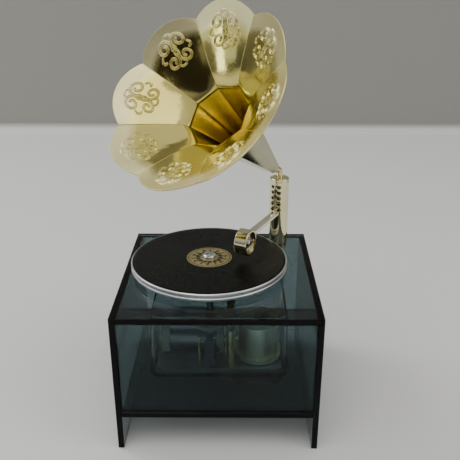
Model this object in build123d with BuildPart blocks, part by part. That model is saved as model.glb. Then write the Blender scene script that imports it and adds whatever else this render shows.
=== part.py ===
"""Wind-up music box in the shape of a horn gramophone.  Millimetres, +Z up."""
from build123d import *
import math
import os

os.makedirs("parts", exist_ok=True)

# ---- overall frame -------------------------------------------------------------------
SHIFT_X = 0.68                # case centre, so the whole object is centred on the origin
SHIFT_Y = 1.635

# ---- acrylic case --------------------------------------------------------------------
CASE = 80.0                   # side of the square case
SHEET = 2.4                   # acrylic sheet
CASE_TOP = 60.0               # top face of the top panel
FLOOR_GAP = 15.2              # clear height under the bottom panel
EDGE = 0.2                    # polished edge chamfer
INNER = CASE - 2 * SHEET
DECK = FLOOR_GAP + SHEET      # inside face of the bottom panel
LID_UNDER = CASE_TOP - SHEET  # under face of the top panel

# ---- clearances ----------------------------------------------------------------------
RUN = 0.05                    # running clearance of a turning shaft, on radius
SHANK_GAP = 0.05              # clearance of a screw shank, on radius
EPS = 0.01

# ---- turntable -----------------------------------------------------------------------
TABLE_X = -4.16
TABLE_Y = 2.93
PLATTER_R = 33.0
PLATTER_BOTTOM = CASE_TOP + 1.6
PLATTER_TOP = CASE_TOP + 4.8
PLATTER_GROOVE = 0.25         # depth of the groove round the rim
RECORD_R = 32.4
RECORD_THICK = 1.2
RECORD_GAP = 0.1
LABEL_R = 9.6
LABEL_THICK = 0.2
SPINDLE_R = 1.5
BUSH_R = 2.6
BUSH_FLANGE_R = 3.6
BUSH_FLANGE = 0.8

# ---- movement cover and bedplate -----------------------------------------------------
COVER_W = 58.0
COVER_FRONT = -14.8
COVER_BACK = 31.0
COVER_TOP = 44.0
COVER_WALL = 1.0
COVER_CORNER = 4.0
COVER_RIM = 1.2
PLATE_W = 54.0
PLATE_FRONT = -13.2
PLATE_BACK = 29.2
PLATE_TOP = 20.2

# ---- pinned cylinder -----------------------------------------------------------------
CYL_Y = 2.9
CYL_Z = 25.6
CYL_LEFT = -22.1
CYL_RIGHT = -1.2
CYL_R = 4.4
CYL_WALL = 0.8
PIN_R = 0.2
PIN_TIP = 4.8
NOTES = 18
PINS_PER_NOTE = 4
ARBOR_R = 1.0
ARBOR_LEFT = -26.8
ARBOR_RIGHT = 8.6
WHEEL_W = 3.2

# ---- gears ---------------------------------------------------------------------------
MODULE = 0.4
PITCH = math.pi * MODULE
TOOTH_UP = 0.28               # height of a tooth above the pitch line
TOOTH_DOWN = 0.45
TOOTH_BASE_W = 0.48
TOOTH_TIP_W = 0.26
WHEEL_TEETH = 30
CROWN_TEETH = 24
IDLER_TEETH = 10
WORM_WHEEL_TEETH = 12
DRIVE_TEETH = 13
BARREL_TEETH = 46
WHEEL_R = MODULE * WHEEL_TEETH / 2
CROWN_R = MODULE * CROWN_TEETH / 2
IDLER_R = MODULE * IDLER_TEETH / 2
WORM_WHEEL_R = MODULE * WORM_WHEEL_TEETH / 2
DRIVE_R = MODULE * DRIVE_TEETH / 2
BARREL_GEAR_R = MODULE * BARREL_TEETH / 2
WHEEL_MESH_X = TABLE_X + CROWN_R
CROWN_TOOTH_L = 0.7
CROWN_DISC = 1.4

# ---- spring barrel -------------------------------------------------------------------
BARREL_X = 17.2
BARREL_Y = -1.0
BARREL_R = 8.6
BARREL_WALL = 0.8
BARREL_FLANGE_R = 10.4
BARREL_FOOT = 20.8
BARREL_FLANGE_TOP = 22.4
BARREL_TOP = 37.0
WIND_R = 2.0
SPRING_IN = 3.0
SPRING_OUT = 7.4
SPRING_TURNS = 5
SPRING_STRIP = 0.3

# ---- governor ------------------------------------------------------------------------
MESH_ANGLE = 150.0
IDLER_Y = CYL_Y + (WHEEL_R + IDLER_R) * math.cos(math.radians(MESH_ANGLE))
IDLER_Z = CYL_Z + (WHEEL_R + IDLER_R) * math.sin(math.radians(MESH_ANGLE))
WORM_R = 1.3
WORM_CORE = 1.0
WORM_TURNS = 3.5
GOV_X = -4.0
GOV_Y = IDLER_Y - WORM_WHEEL_R - WORM_R
GOV_SHAFT_R = 0.4
FAN_R = 4.2
FAN_BOTTOM = 22.6
FAN_TOP = 26.4
FAN_BLADES = 4

# ---- post, arm and sound box ---------------------------------------------------------
POST_X = 26.9
POST_Y = 31.6
POST_R = 4.3
POST_BORE = 3.5
POST_TOP = 90.2
CAP_TOP = 91.4
STUD_R = 1.5
ARM_Z = 75.2
ARM_W = 3.2
ARM_T = 1.8
ARM_SINK = 0.5                # how far the arm's tip enters the sound box wall
BOX_X = 11.0
BOX_Y = 0.4
BOX_Z = 73.2
BOX_R = 5.5
BOX_LONG = 5.4
BOX_WALL = 0.8

# ---- horn ----------------------------------------------------------------------------
HORN_X = -7.28
HORN_Y = -10.07
HORN_Z = 135.69
HORN_AIM = (-0.5, -0.6, 0.62)
PETALS = 8
STEP = 360.0 / PETALS
HORN_PHASE = 6.84             # angle of the first petal's centre line
SKIN = 0.6
RIM_R = 35.94                 # radius of the notches between petals
TIP_OUT = 2.97                # how far a petal's tip stands outside the notches
TIP_FORWARD = 3.54
THROAT_R = 13.5
THROAT_A = -15.5
NECK_END_R = 2.7
NECK_END_A = -62.0
NECK_SLOPE = (THROAT_R - NECK_END_R) / (THROAT_A - NECK_END_A)
FLARE_POWER = 1.4             # how late the petals open after the throat
SIDE_STEPS = 9
LONG_STEPS = 12
PETAL_OVER = 1.06             # each petal is cut back to its seams from a little over


def at(x, y, z=0.0):
    """A point given from the centre of the case."""
    return (x + SHIFT_X, y + SHIFT_Y, z)


def level(x, y, z):
    """A level plane."""
    return Plane(origin=at(x, y, z), x_dir=(1, 0, 0), z_dir=(0, 0, 1))


def across(x, y, z):
    """A plane facing +X, with its own x along +Y and its own y along +Z."""
    return Plane(origin=at(x, y, z), x_dir=(0, 1, 0), z_dir=(1, 0, 0))


def block(x0, x1, y0, y1, z0, z1, mode=Mode.ADD):
    """A block between two corners."""
    with Locations(at((x0 + x1) / 2, (y0 + y1) / 2, (z0 + z1) / 2)):
        Box(x1 - x0, y1 - y0, z1 - z0, mode=mode)


def rod(plane, radius, length, mode=Mode.ADD):
    """A round rod that starts on a plane and runs along its normal, or against it."""
    seat = Align.MIN if length > 0 else Align.MAX
    with Locations(plane.location):
        Cylinder(radius, abs(length), align=(Align.CENTER, Align.CENTER, seat), mode=mode)


def gear_face(pitch_r, teeth, phase):
    """A toothed outline in the sketch that is open."""
    root = pitch_r - TOOTH_DOWN
    tip = pitch_r + TOOTH_UP
    base_half = TOOTH_BASE_W / 2
    tip_half = TOOTH_TIP_W / 2
    Circle(root)
    for k in range(teeth):
        with Locations(Location((0, 0, 0), (0, 0, phase + 360.0 * k / teeth))):
            Polygon(
                (root - base_half, -base_half),
                (root, -base_half),
                (tip, -tip_half),
                (tip, tip_half),
                (root, base_half),
                (root - base_half, base_half),
                align=None,
            )


# ---- case ----------------------------------------------------------------------------
half = CASE / 2
inner = INNER / 2

with BuildPart() as top_panel:
    block(-half, half, -half, half, LID_UNDER, CASE_TOP)
    chamfer(edges(), EDGE)
    rod(level(TABLE_X, TABLE_Y, LID_UNDER - EPS), BUSH_R, SHEET + 2 * EPS, Mode.SUBTRACT)
    rod(level(POST_X, POST_Y, LID_UNDER - EPS), STUD_R + RUN, SHEET + 2 * EPS, Mode.SUBTRACT)

with BuildPart() as left_panel:
    block(-half, -inner, -half, half, 0, LID_UNDER)
    chamfer(edges(), EDGE)

with BuildPart() as right_panel:
    block(inner, half, -half, half, 0, LID_UNDER)
    chamfer(edges(), EDGE)

with BuildPart() as front_panel:
    block(-inner, inner, -half, -inner, DECK, LID_UNDER)
    chamfer(edges(), EDGE)

with BuildPart() as back_panel:
    block(-inner, inner, inner, half, DECK, LID_UNDER)
    chamfer(edges(), EDGE)

SCREW_SPOTS = [(-18.0, -8.0), (-18.0, 24.5), (11.0, 24.5)]
MOVE_SHANK_R = 1.25
MOVE_HEAD_R = 2.4
MOVE_HEAD_H = 1.5

with BuildPart() as bottom_panel:
    block(-inner, inner, -half, half, FLOOR_GAP, DECK)
    chamfer(edges(), EDGE)
    rod(level(BARREL_X, BARREL_Y, FLOOR_GAP - EPS), WIND_R + RUN, SHEET + 2 * EPS, Mode.SUBTRACT)
    for sx, sy in SCREW_SPOTS:
        rod(level(sx, sy, FLOOR_GAP - EPS), MOVE_SHANK_R + SHANK_GAP, SHEET + 2 * EPS, Mode.SUBTRACT)

# ---- movement cover and bedplate -----------------------------------------------------
cover_mid = (COVER_FRONT + COVER_BACK) / 2
cover_deep = COVER_BACK - COVER_FRONT

with BuildPart() as movement_cover:
    with BuildSketch(level(0, cover_mid, DECK)):
        RectangleRounded(COVER_W, cover_deep, COVER_CORNER)
    extrude(amount=COVER_TOP - DECK)
    fillet(faces().sort_by(Axis.Z)[-1].edges(), radius=1.5)
    with BuildSketch(level(0, cover_mid, DECK - EPS)):
        RectangleRounded(COVER_W - 2 * COVER_WALL, cover_deep - 2 * COVER_WALL, COVER_CORNER - COVER_WALL)
    extrude(amount=COVER_TOP - COVER_WALL - DECK + EPS, mode=Mode.SUBTRACT)
    with BuildSketch(level(0, cover_mid, DECK)):
        RectangleRounded(COVER_W + 2 * COVER_RIM, cover_deep + 2 * COVER_RIM, COVER_CORNER + COVER_RIM)
        RectangleRounded(COVER_W - EPS, cover_deep - EPS, COVER_CORNER, mode=Mode.SUBTRACT)
    extrude(amount=COVER_RIM)
    rod(level(TABLE_X, TABLE_Y, COVER_TOP - 2 * COVER_WALL), SPINDLE_R + 0.6, 4 * COVER_WALL, Mode.SUBTRACT)

WHEEL_CUT = 0.5
wheel_half = math.sqrt((WHEEL_R + 2 * TOOTH_UP) ** 2 - (CYL_Z - PLATE_TOP) ** 2)

with BuildPart() as bedplate:
    block(-PLATE_W / 2, PLATE_W / 2, PLATE_FRONT, PLATE_BACK, DECK, PLATE_TOP)
    fillet(edges().filter_by(Axis.Z), radius=2.5)
    block(CYL_RIGHT - WHEEL_CUT, CYL_RIGHT + WHEEL_W + WHEEL_CUT, CYL_Y - wheel_half - WHEEL_CUT,
          CYL_Y + wheel_half + WHEEL_CUT, DECK - EPS, PLATE_TOP + EPS, Mode.SUBTRACT)
    block(CYL_LEFT - WHEEL_W - WHEEL_CUT, CYL_LEFT + WHEEL_CUT, CYL_Y - wheel_half - WHEEL_CUT,
          CYL_Y + wheel_half + WHEEL_CUT, DECK - EPS, PLATE_TOP + EPS, Mode.SUBTRACT)
    rod(level(BARREL_X, BARREL_Y, DECK - EPS), WIND_R + RUN, PLATE_TOP - DECK + 2 * EPS, Mode.SUBTRACT)
    for sx, sy in SCREW_SPOTS:
        rod(level(sx, sy, DECK - EPS), MOVE_SHANK_R + SHANK_GAP, PLATE_TOP - DECK, Mode.SUBTRACT)

with BuildPart() as movement_screws:
    for sx, sy in SCREW_SPOTS:
        rod(level(sx, sy, FLOOR_GAP - MOVE_HEAD_H), MOVE_HEAD_R, MOVE_HEAD_H)
        rod(level(sx, sy, FLOOR_GAP), MOVE_SHANK_R, PLATE_TOP - FLOOR_GAP - 0.3)
        with Locations(at(sx, sy, FLOOR_GAP - MOVE_HEAD_H)):
            Box(MOVE_HEAD_R * 1.2, MOVE_HEAD_R * 0.25, MOVE_HEAD_H, mode=Mode.SUBTRACT)
            Box(MOVE_HEAD_R * 0.25, MOVE_HEAD_R * 1.2, MOVE_HEAD_H, mode=Mode.SUBTRACT)

# ---- comb ----------------------------------------------------------------------------
COMB_THICK = 1.0
COMB_TIP_Y = CYL_Y + PIN_TIP + 0.1
COMB_ROOT_Y = 19.0
COMB_BACK_Y = 26.0
COMB_SCREWS = [-18.0, -5.3]
COMB_SCREW_Y = 22.5
cyl_long = CYL_RIGHT - CYL_LEFT
note_pitch = cyl_long / (NOTES + 1)
COMB_LEFT = CYL_LEFT - 0.2
COMB_RIGHT = CYL_RIGHT + 0.2
TINE_W = note_pitch * 0.72
COMB_SHANK_R = 1.0

with BuildPart() as comb:
    block(COMB_LEFT, COMB_RIGHT, COMB_ROOT_Y, COMB_BACK_Y, CYL_Z - COMB_THICK / 2, CYL_Z + COMB_THICK / 2)
    for k in range(NOTES):
        tine_x = CYL_LEFT + note_pitch * (k + 1)
        block(tine_x - TINE_W / 2, tine_x + TINE_W / 2, COMB_TIP_Y, COMB_ROOT_Y + EPS,
              CYL_Z - COMB_THICK / 4, CYL_Z + COMB_THICK / 4)
    for sx in COMB_SCREWS:
        rod(level(sx, COMB_SCREW_Y, CYL_Z - COMB_THICK), COMB_SHANK_R + SHANK_GAP, 2 * COMB_THICK, Mode.SUBTRACT)

with BuildPart() as comb_base:
    block(COMB_LEFT, COMB_RIGHT, COMB_ROOT_Y + 0.4, COMB_BACK_Y + 0.4, PLATE_TOP, CYL_Z - COMB_THICK / 2)
    chamfer(edges().filter_by(Axis.Z), 0.6)
    for sx in COMB_SCREWS:
        rod(level(sx, COMB_SCREW_Y, PLATE_TOP + 1), COMB_SHANK_R + SHANK_GAP, CYL_Z, Mode.SUBTRACT)

with BuildPart() as comb_screws:
    for sx in COMB_SCREWS:
        rod(level(sx, COMB_SCREW_Y, CYL_Z + COMB_THICK / 2), 1.9, 1.2)
        rod(level(sx, COMB_SCREW_Y, CYL_Z + COMB_THICK / 2), COMB_SHANK_R, -4.5)
        block(sx - 2.2, sx + 2.2, COMB_SCREW_Y - 0.25, COMB_SCREW_Y + 0.25, CYL_Z + COMB_THICK / 2 + 0.6,
              CYL_Z + COMB_THICK / 2 + 2, Mode.SUBTRACT)

# ---- bearings ------------------------------------------------------------------------
BEARING_TOP = 28.6
BEARING_W = 6.0
LEFT_BEARING = (-26.9, -25.8)
RIGHT_BEARING = (3.4, 4.8)

with BuildPart() as cylinder_bearings:
    for b0, b1 in (LEFT_BEARING, RIGHT_BEARING):
        block(b0, b1, CYL_Y - BEARING_W / 2, CYL_Y + BEARING_W / 2, PLATE_TOP, CYL_Z)
        rod(across(b0, CYL_Y, CYL_Z), BEARING_W / 2, b1 - b0)
        rod(across(b0 - EPS, CYL_Y, CYL_Z), ARBOR_R + RUN, b1 - b0 + 2 * EPS, Mode.SUBTRACT)

IDLER_SHAFT_R = 0.5
IDLER_PLATES = ((-9.2, -8.4), (2.7, 3.3))

with BuildPart() as idler_bearings:
    for b0, b1 in IDLER_PLATES:
        block(b0, b1, IDLER_Y - 1.5, IDLER_Y + 1.5, PLATE_TOP, IDLER_Z)
        rod(across(b0, IDLER_Y, IDLER_Z), 1.5, b1 - b0)
        rod(across(b0 - EPS, IDLER_Y, IDLER_Z), IDLER_SHAFT_R + RUN, b1 - b0 + 2 * EPS, Mode.SUBTRACT)

GOV_ARM_Z = 32.3
GOV_ARM_T = 1.2
GOV_PIVOT_TOP = 21.6

with BuildPart() as governor_bracket:
    block(GOV_X - 2, GOV_X + 2, PLATE_FRONT, PLATE_FRONT + 1, PLATE_TOP, GOV_ARM_Z + GOV_ARM_T)
    block(GOV_X - 1.4, GOV_X + 1.4, PLATE_FRONT, GOV_Y, GOV_ARM_Z, GOV_ARM_Z + GOV_ARM_T)
    rod(level(GOV_X, GOV_Y, GOV_ARM_Z), 1.4, GOV_ARM_T)
    block(GOV_X - 1.2, GOV_X + 1.2, PLATE_FRONT, GOV_Y, PLATE_TOP, PLATE_TOP + 0.7)
    rod(level(GOV_X, GOV_Y, PLATE_TOP), 1.2, GOV_PIVOT_TOP - PLATE_TOP)
    rod(level(GOV_X, GOV_Y, PLATE_TOP + 0.7), GOV_SHAFT_R + RUN, GOV_ARM_Z, Mode.SUBTRACT)

# ---- turntable bridge ----------------------------------------------------------------
BRIDGE_Z = 35.0
BRIDGE_T = 1.5
BRIDGE_X = 5.0
BRIDGE_ENDS = (-10.0, 13.0)
PILLAR_R = 1.8
BRIDGE_SHANK_R = 0.9

with BuildPart() as bridge_pillars:
    for py in BRIDGE_ENDS:
        rod(level(BRIDGE_X, py, PLATE_TOP), PILLAR_R, BRIDGE_Z - PLATE_TOP)
        rod(level(BRIDGE_X, py, BRIDGE_Z - 4), BRIDGE_SHANK_R + SHANK_GAP, 5, Mode.SUBTRACT)

with BuildPart() as spindle_bridge:
    with BuildSketch(level(0, 0, BRIDGE_Z)):
        with Locations((BRIDGE_X, sum(BRIDGE_ENDS) / 2)):
            SlotCenterToCenter(BRIDGE_ENDS[1] - BRIDGE_ENDS[0], 2 * PILLAR_R, rotation=90)
        with Locations(((TABLE_X + BRIDGE_X) / 2, TABLE_Y)):
            SlotCenterToCenter(BRIDGE_X - TABLE_X, 5.0)
        with Locations((TABLE_X, TABLE_Y)):
            Circle(SPINDLE_R + RUN, mode=Mode.SUBTRACT)
        for py in BRIDGE_ENDS:
            with Locations((BRIDGE_X, py)):
                Circle(BRIDGE_SHANK_R + SHANK_GAP, mode=Mode.SUBTRACT)
    extrude(amount=BRIDGE_T)

with BuildPart() as bridge_screws:
    for py in BRIDGE_ENDS:
        rod(level(BRIDGE_X, py, BRIDGE_Z + BRIDGE_T), 1.6, 1.0)
        rod(level(BRIDGE_X, py, BRIDGE_Z + BRIDGE_T), BRIDGE_SHANK_R, -4.5)
        block(BRIDGE_X - 2, BRIDGE_X + 2, py - 0.2, py + 0.2, BRIDGE_Z + BRIDGE_T + 0.5,
              BRIDGE_Z + BRIDGE_T + 2, Mode.SUBTRACT)

with BuildPart() as spindle_bush:
    rod(level(TABLE_X, TABLE_Y, LID_UNDER), BUSH_R, SHEET)
    rod(level(TABLE_X, TABLE_Y, CASE_TOP), BUSH_FLANGE_R, BUSH_FLANGE)
    rod(level(TABLE_X, TABLE_Y, LID_UNDER - EPS), SPINDLE_R + RUN, SHEET + BUSH_FLANGE + 2 * EPS, Mode.SUBTRACT)

# ---- pinned cylinder and its wheels --------------------------------------------------
with BuildPart() as music_cylinder:
    rod(across(CYL_LEFT, CYL_Y, CYL_Z), CYL_R, cyl_long)
    rod(across(CYL_LEFT + CYL_WALL, CYL_Y, CYL_Z), CYL_R - CYL_WALL, cyl_long - 2 * CYL_WALL, Mode.SUBTRACT)
    rod(across(CYL_LEFT - EPS, CYL_Y, CYL_Z), ARBOR_R, cyl_long + 2 * EPS, Mode.SUBTRACT)
    for k in range(NOTES):
        for j in range(PINS_PER_NOTE):
            pin_turn = 360.0 * j / PINS_PER_NOTE + 47.0 * k + 23.0 * ((k * j) % PINS_PER_NOTE)
            pin_x = CYL_LEFT + note_pitch * (k + 1)
            pin_y = math.cos(math.radians(pin_turn))
            pin_z = math.sin(math.radians(pin_turn))
            pin_root = CYL_R - CYL_WALL / 2
            pin_plane = Plane(origin=at(pin_x, CYL_Y + pin_root * pin_y, CYL_Z + pin_root * pin_z),
                              x_dir=(1, 0, 0), z_dir=(0, pin_y, pin_z))
            rod(pin_plane, PIN_R, PIN_TIP - pin_root)

with BuildPart() as cylinder_arbor:
    rod(across(ARBOR_LEFT, CYL_Y, CYL_Z), ARBOR_R, ARBOR_RIGHT - ARBOR_LEFT)
    chamfer(edges(), EDGE)

with BuildPart() as cylinder_wheel_right:
    with BuildSketch(across(CYL_RIGHT, CYL_Y, CYL_Z)):
        gear_face(WHEEL_R, WHEEL_TEETH, 90.0)
        Circle(ARBOR_R, mode=Mode.SUBTRACT)
    extrude(amount=WHEEL_W)

with BuildPart() as cylinder_wheel_left:
    with BuildSketch(across(CYL_LEFT - WHEEL_W, CYL_Y, CYL_Z)):
        gear_face(WHEEL_R, WHEEL_TEETH, 90.0)
        Circle(ARBOR_R, mode=Mode.SUBTRACT)
    extrude(amount=WHEEL_W)

DRIVE_W = 0.7
DRIVE_X = BARREL_X - BARREL_GEAR_R

with BuildPart() as drive_pinion:
    with BuildSketch(across(DRIVE_X - DRIVE_W / 2, CYL_Y, CYL_Z)):
        gear_face(DRIVE_R, DRIVE_TEETH, -90.0)
        Circle(ARBOR_R, mode=Mode.SUBTRACT)
    extrude(amount=DRIVE_W)
    rod(across(DRIVE_X - DRIVE_W / 2, CYL_Y, CYL_Z), ARBOR_R + 0.6, -1.0)
    rod(across(DRIVE_X - 3, CYL_Y, CYL_Z), ARBOR_R, 4, Mode.SUBTRACT)

# ---- idler and governor --------------------------------------------------------------
IDLER_W = 1.4
WORM_WHEEL_W = 1.2

with BuildPart() as idler_pinion:
    rod(across(IDLER_PLATES[0][0], IDLER_Y, IDLER_Z), IDLER_SHAFT_R, IDLER_PLATES[1][1] - IDLER_PLATES[0][0])
    with BuildSketch(across(WHEEL_MESH_X - IDLER_W / 2, IDLER_Y, IDLER_Z)):
        gear_face(IDLER_R, IDLER_TEETH, MESH_ANGLE + 180.0 + 180.0 / IDLER_TEETH)
    extrude(amount=IDLER_W)

with BuildPart() as worm_wheel:
    with BuildSketch(across(GOV_X - WORM_WHEEL_W / 2, IDLER_Y, IDLER_Z)):
        gear_face(WORM_WHEEL_R, WORM_WHEEL_TEETH, 180.0)
        Circle(IDLER_SHAFT_R, mode=Mode.SUBTRACT)
    extrude(amount=WORM_WHEEL_W)

worm_start = IDLER_Z + PITCH / 4 - 2 * PITCH
THREAD_OUT = 1.55
THREAD_W = 0.26
THREAD_SINK = 0.15

with BuildPart() as governor_worm:
    rod(level(GOV_X, GOV_Y, PLATE_TOP + 0.8), GOV_SHAFT_R, GOV_ARM_Z + GOV_ARM_T - PLATE_TOP - 1.0)
    rod(level(GOV_X, GOV_Y, worm_start - 0.4), WORM_CORE, WORM_TURNS * PITCH + 0.8)
    with BuildLine() as thread_path:
        Helix(pitch=PITCH, height=WORM_TURNS * PITCH, radius=WORM_CORE, center=at(GOV_X, GOV_Y, worm_start))
    with BuildSketch(Plane(origin=thread_path.line @ 0, x_dir=(1, 0, 0), z_dir=thread_path.line % 0)):
        Polygon(
            (-THREAD_SINK, -THREAD_W),
            (THREAD_OUT - WORM_CORE, -THREAD_W / 2),
            (THREAD_OUT - WORM_CORE, THREAD_W / 2),
            (-THREAD_SINK, THREAD_W),
            align=None,
        )
    sweep(path=thread_path.line, is_frenet=True, clean=False)

BLADE_T = 0.5
HUB_R = 1.2

with BuildPart() as governor_fan:
    rod(level(GOV_X, GOV_Y, FAN_BOTTOM), HUB_R, FAN_TOP - FAN_BOTTOM)
    for k in range(FAN_BLADES):
        with Locations(Location(at(GOV_X, GOV_Y, (FAN_BOTTOM + FAN_TOP) / 2), (0, 0, 45 + 360.0 * k / FAN_BLADES))):
            Box(FAN_R, BLADE_T, FAN_TOP - FAN_BOTTOM, align=(Align.MIN, Align.CENTER, Align.CENTER))
    rod(level(GOV_X, GOV_Y, FAN_TOP - 0.6), FAN_R, 0.6)
    rod(level(GOV_X, GOV_Y, FAN_BOTTOM - EPS), GOV_SHAFT_R, FAN_TOP, Mode.SUBTRACT)

# ---- spring barrel -------------------------------------------------------------------
CROWN_UP = CYL_Z - DRIVE_R + TOOTH_UP

with BuildPart() as spring_barrel:
    rod(level(BARREL_X, BARREL_Y, BARREL_FOOT), BARREL_FLANGE_R, BARREL_FLANGE_TOP - BARREL_FOOT)
    rod(level(BARREL_X, BARREL_Y, BARREL_FLANGE_TOP), BARREL_R, BARREL_TOP - 1.0 - BARREL_FLANGE_TOP)
    rod(level(BARREL_X, BARREL_Y, BARREL_FLANGE_TOP), BARREL_R - BARREL_WALL, BARREL_TOP, Mode.SUBTRACT)
    rod(level(BARREL_X, BARREL_Y, BARREL_FOOT - EPS), WIND_R + RUN, BARREL_TOP, Mode.SUBTRACT)
    for k in range(BARREL_TEETH):
        turn = 360.0 * (k + 0.5) / BARREL_TEETH
        spin = math.radians(turn)
        arm_x = DRIVE_X - BARREL_X
        arm_y = CYL_Y - BARREL_Y
        tooth_x = BARREL_X + arm_x * math.cos(spin) - arm_y * math.sin(spin)
        tooth_y = BARREL_Y + arm_x * math.sin(spin) + arm_y * math.cos(spin)
        with BuildSketch(Plane(origin=at(tooth_x, tooth_y, BARREL_FLANGE_TOP),
                               x_dir=(-math.sin(spin), math.cos(spin), 0),
                               z_dir=(math.cos(spin), math.sin(spin), 0))):
            Polygon(
                (-TOOTH_BASE_W / 2, -0.2),
                (TOOTH_BASE_W / 2, -0.2),
                (TOOTH_BASE_W / 2, 0),
                (TOOTH_TIP_W / 2, CROWN_UP - BARREL_FLANGE_TOP),
                (-TOOTH_TIP_W / 2, CROWN_UP - BARREL_FLANGE_TOP),
                (-TOOTH_BASE_W / 2, 0),
                align=None,
            )
        extrude(amount=DRIVE_W / 2, both=True)

with BuildPart() as barrel_cap:
    rod(level(BARREL_X, BARREL_Y, BARREL_TOP - 1.0), BARREL_R, 1.0)
    fillet(edges().group_by(Axis.Z)[-1], radius=0.3)
    rod(level(BARREL_X, BARREL_Y, BARREL_TOP - 2.0), WIND_R + RUN, 3.0, Mode.SUBTRACT)


def spiral(offset):
    """Points along the spring strip, set off sideways by a distance."""
    points = []
    for k in range(SPRING_TURNS * 16 + 1):
        part_way = k / (SPRING_TURNS * 16)
        radius = SPRING_IN + (SPRING_OUT - SPRING_IN) * part_way + offset
        angle = 2 * math.pi * SPRING_TURNS * part_way
        points.append((radius * math.cos(angle), radius * math.sin(angle)))
    return points


with BuildPart() as mainspring:
    with BuildSketch(level(BARREL_X, BARREL_Y, BARREL_FLANGE_TOP + 0.6)):
        with BuildLine():
            outer_edge = Spline(*spiral(SPRING_STRIP / 2))
            inner_edge = Spline(*spiral(-SPRING_STRIP / 2))
            Line(outer_edge @ 0, inner_edge @ 0)
            Line(outer_edge @ 1, inner_edge @ 1)
        make_face()
    extrude(amount=BARREL_TOP - BARREL_FLANGE_TOP - 2.2)

# ---- winding key ---------------------------------------------------------------------
KEY_LOW = 2.6
KEY_WING = 12.0
KEY_THICK = 1.8
KEY_HUB_R = 3.2
KEY_HUB_TOP = 13.4
LOBE_R = 4.2
key_mid = KEY_LOW + LOBE_R

with BuildPart() as winding_arbor:
    rod(level(BARREL_X, BARREL_Y, 9.4), WIND_R, BARREL_TOP + 1.0 - 9.4)
    chamfer(edges().group_by(Axis.Z)[-1], 0.4)

with BuildPart() as winding_key:
    rod(level(BARREL_X, BARREL_Y, 6.0), KEY_HUB_R, KEY_HUB_TOP - 6.0)
    key_side = Plane(origin=at(BARREL_X, BARREL_Y, key_mid), x_dir=(1, 0, 0), z_dir=(0, -1, 0))
    with BuildSketch(key_side):
        Rectangle(2 * (KEY_WING - LOBE_R), 4.4)
        with Locations((KEY_WING - LOBE_R, 0), (LOBE_R - KEY_WING, 0)):
            Circle(LOBE_R)
        with Locations((KEY_WING - LOBE_R, 0), (LOBE_R - KEY_WING, 0)):
            Circle(LOBE_R * 0.42, mode=Mode.SUBTRACT)
    extrude(amount=KEY_THICK / 2, both=True)
    fillet(edges().group_by(Axis.Z)[-1], radius=0.4)
    rod(level(BARREL_X, BARREL_Y, 9.4), WIND_R, 10, Mode.SUBTRACT)

# ---- turntable -----------------------------------------------------------------------
with BuildPart() as spindle:
    rod(level(TABLE_X, TABLE_Y, CYL_Z + WHEEL_R + 0.5), SPINDLE_R, PLATTER_TOP - RECORD_THICK - CYL_Z - WHEEL_R - 0.5)

with BuildPart() as crown_wheel:
    crown_low = CYL_Z + WHEEL_R + TOOTH_DOWN + 0.05
    rod(level(TABLE_X, TABLE_Y, crown_low), CROWN_R + CROWN_TOOTH_L, CROWN_DISC)
    rod(level(TABLE_X, TABLE_Y, crown_low + CROWN_DISC), 2.6, 1.2)
    rod(level(TABLE_X, TABLE_Y, crown_low - 1), SPINDLE_R, 6, Mode.SUBTRACT)
    for k in range(CROWN_TEETH):
        spin = math.radians(360.0 * (k + 0.5) / CROWN_TEETH)
        with BuildSketch(Plane(origin=at(TABLE_X + CROWN_R * math.cos(spin), TABLE_Y + CROWN_R * math.sin(spin), crown_low),
                               x_dir=(-math.sin(spin), math.cos(spin), 0),
                               z_dir=(math.cos(spin), math.sin(spin), 0))):
            Polygon(
                (-TOOTH_BASE_W / 2, 0.2),
                (TOOTH_BASE_W / 2, 0.2),
                (TOOTH_BASE_W / 2, 0),
                (TOOTH_TIP_W / 2, CYL_Z + WHEEL_R - TOOTH_UP - crown_low),
                (-TOOTH_TIP_W / 2, CYL_Z + WHEEL_R - TOOTH_UP - crown_low),
                (-TOOTH_BASE_W / 2, 0),
                align=None,
            )
        extrude(amount=CROWN_TOOTH_L / 2, both=True)

rim_mid = (PLATTER_BOTTOM + PLATTER_TOP) / 2

with BuildPart() as platter:
    with BuildSketch(Plane(origin=at(TABLE_X, TABLE_Y, 0), x_dir=(1, 0, 0), z_dir=(0, -1, 0))):
        with BuildLine():
            Polyline(
                (SPINDLE_R, PLATTER_BOTTOM),
                (PLATTER_R - 0.3, PLATTER_BOTTOM),
                (PLATTER_R, PLATTER_BOTTOM + 0.3),
                (PLATTER_R, rim_mid - 0.6),
                (PLATTER_R - PLATTER_GROOVE, rim_mid - 0.3),
                (PLATTER_R - PLATTER_GROOVE, rim_mid + 0.3),
                (PLATTER_R, rim_mid + 0.6),
                (PLATTER_R, PLATTER_TOP - 0.3),
                (PLATTER_R - 0.3, PLATTER_TOP),
                (RECORD_R + RECORD_GAP, PLATTER_TOP),
                (RECORD_R + RECORD_GAP, PLATTER_TOP - RECORD_THICK),
                (SPINDLE_R, PLATTER_TOP - RECORD_THICK),
                close=True,
            )
        make_face()
    revolve(axis=Axis(at(TABLE_X, TABLE_Y, 0), (0, 0, 1)))

HEAD_R = 3.0
HEAD_H = 1.7
SCREW_SHANK_R = 0.8

with BuildPart() as record_disc:
    rod(level(TABLE_X, TABLE_Y, PLATTER_TOP - RECORD_THICK), RECORD_R, RECORD_THICK)
    chamfer(edges().group_by(Axis.Z)[-1], 0.25)
    rod(level(TABLE_X, TABLE_Y, PLATTER_BOTTOM), SCREW_SHANK_R + SHANK_GAP, 5, Mode.SUBTRACT)

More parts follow.
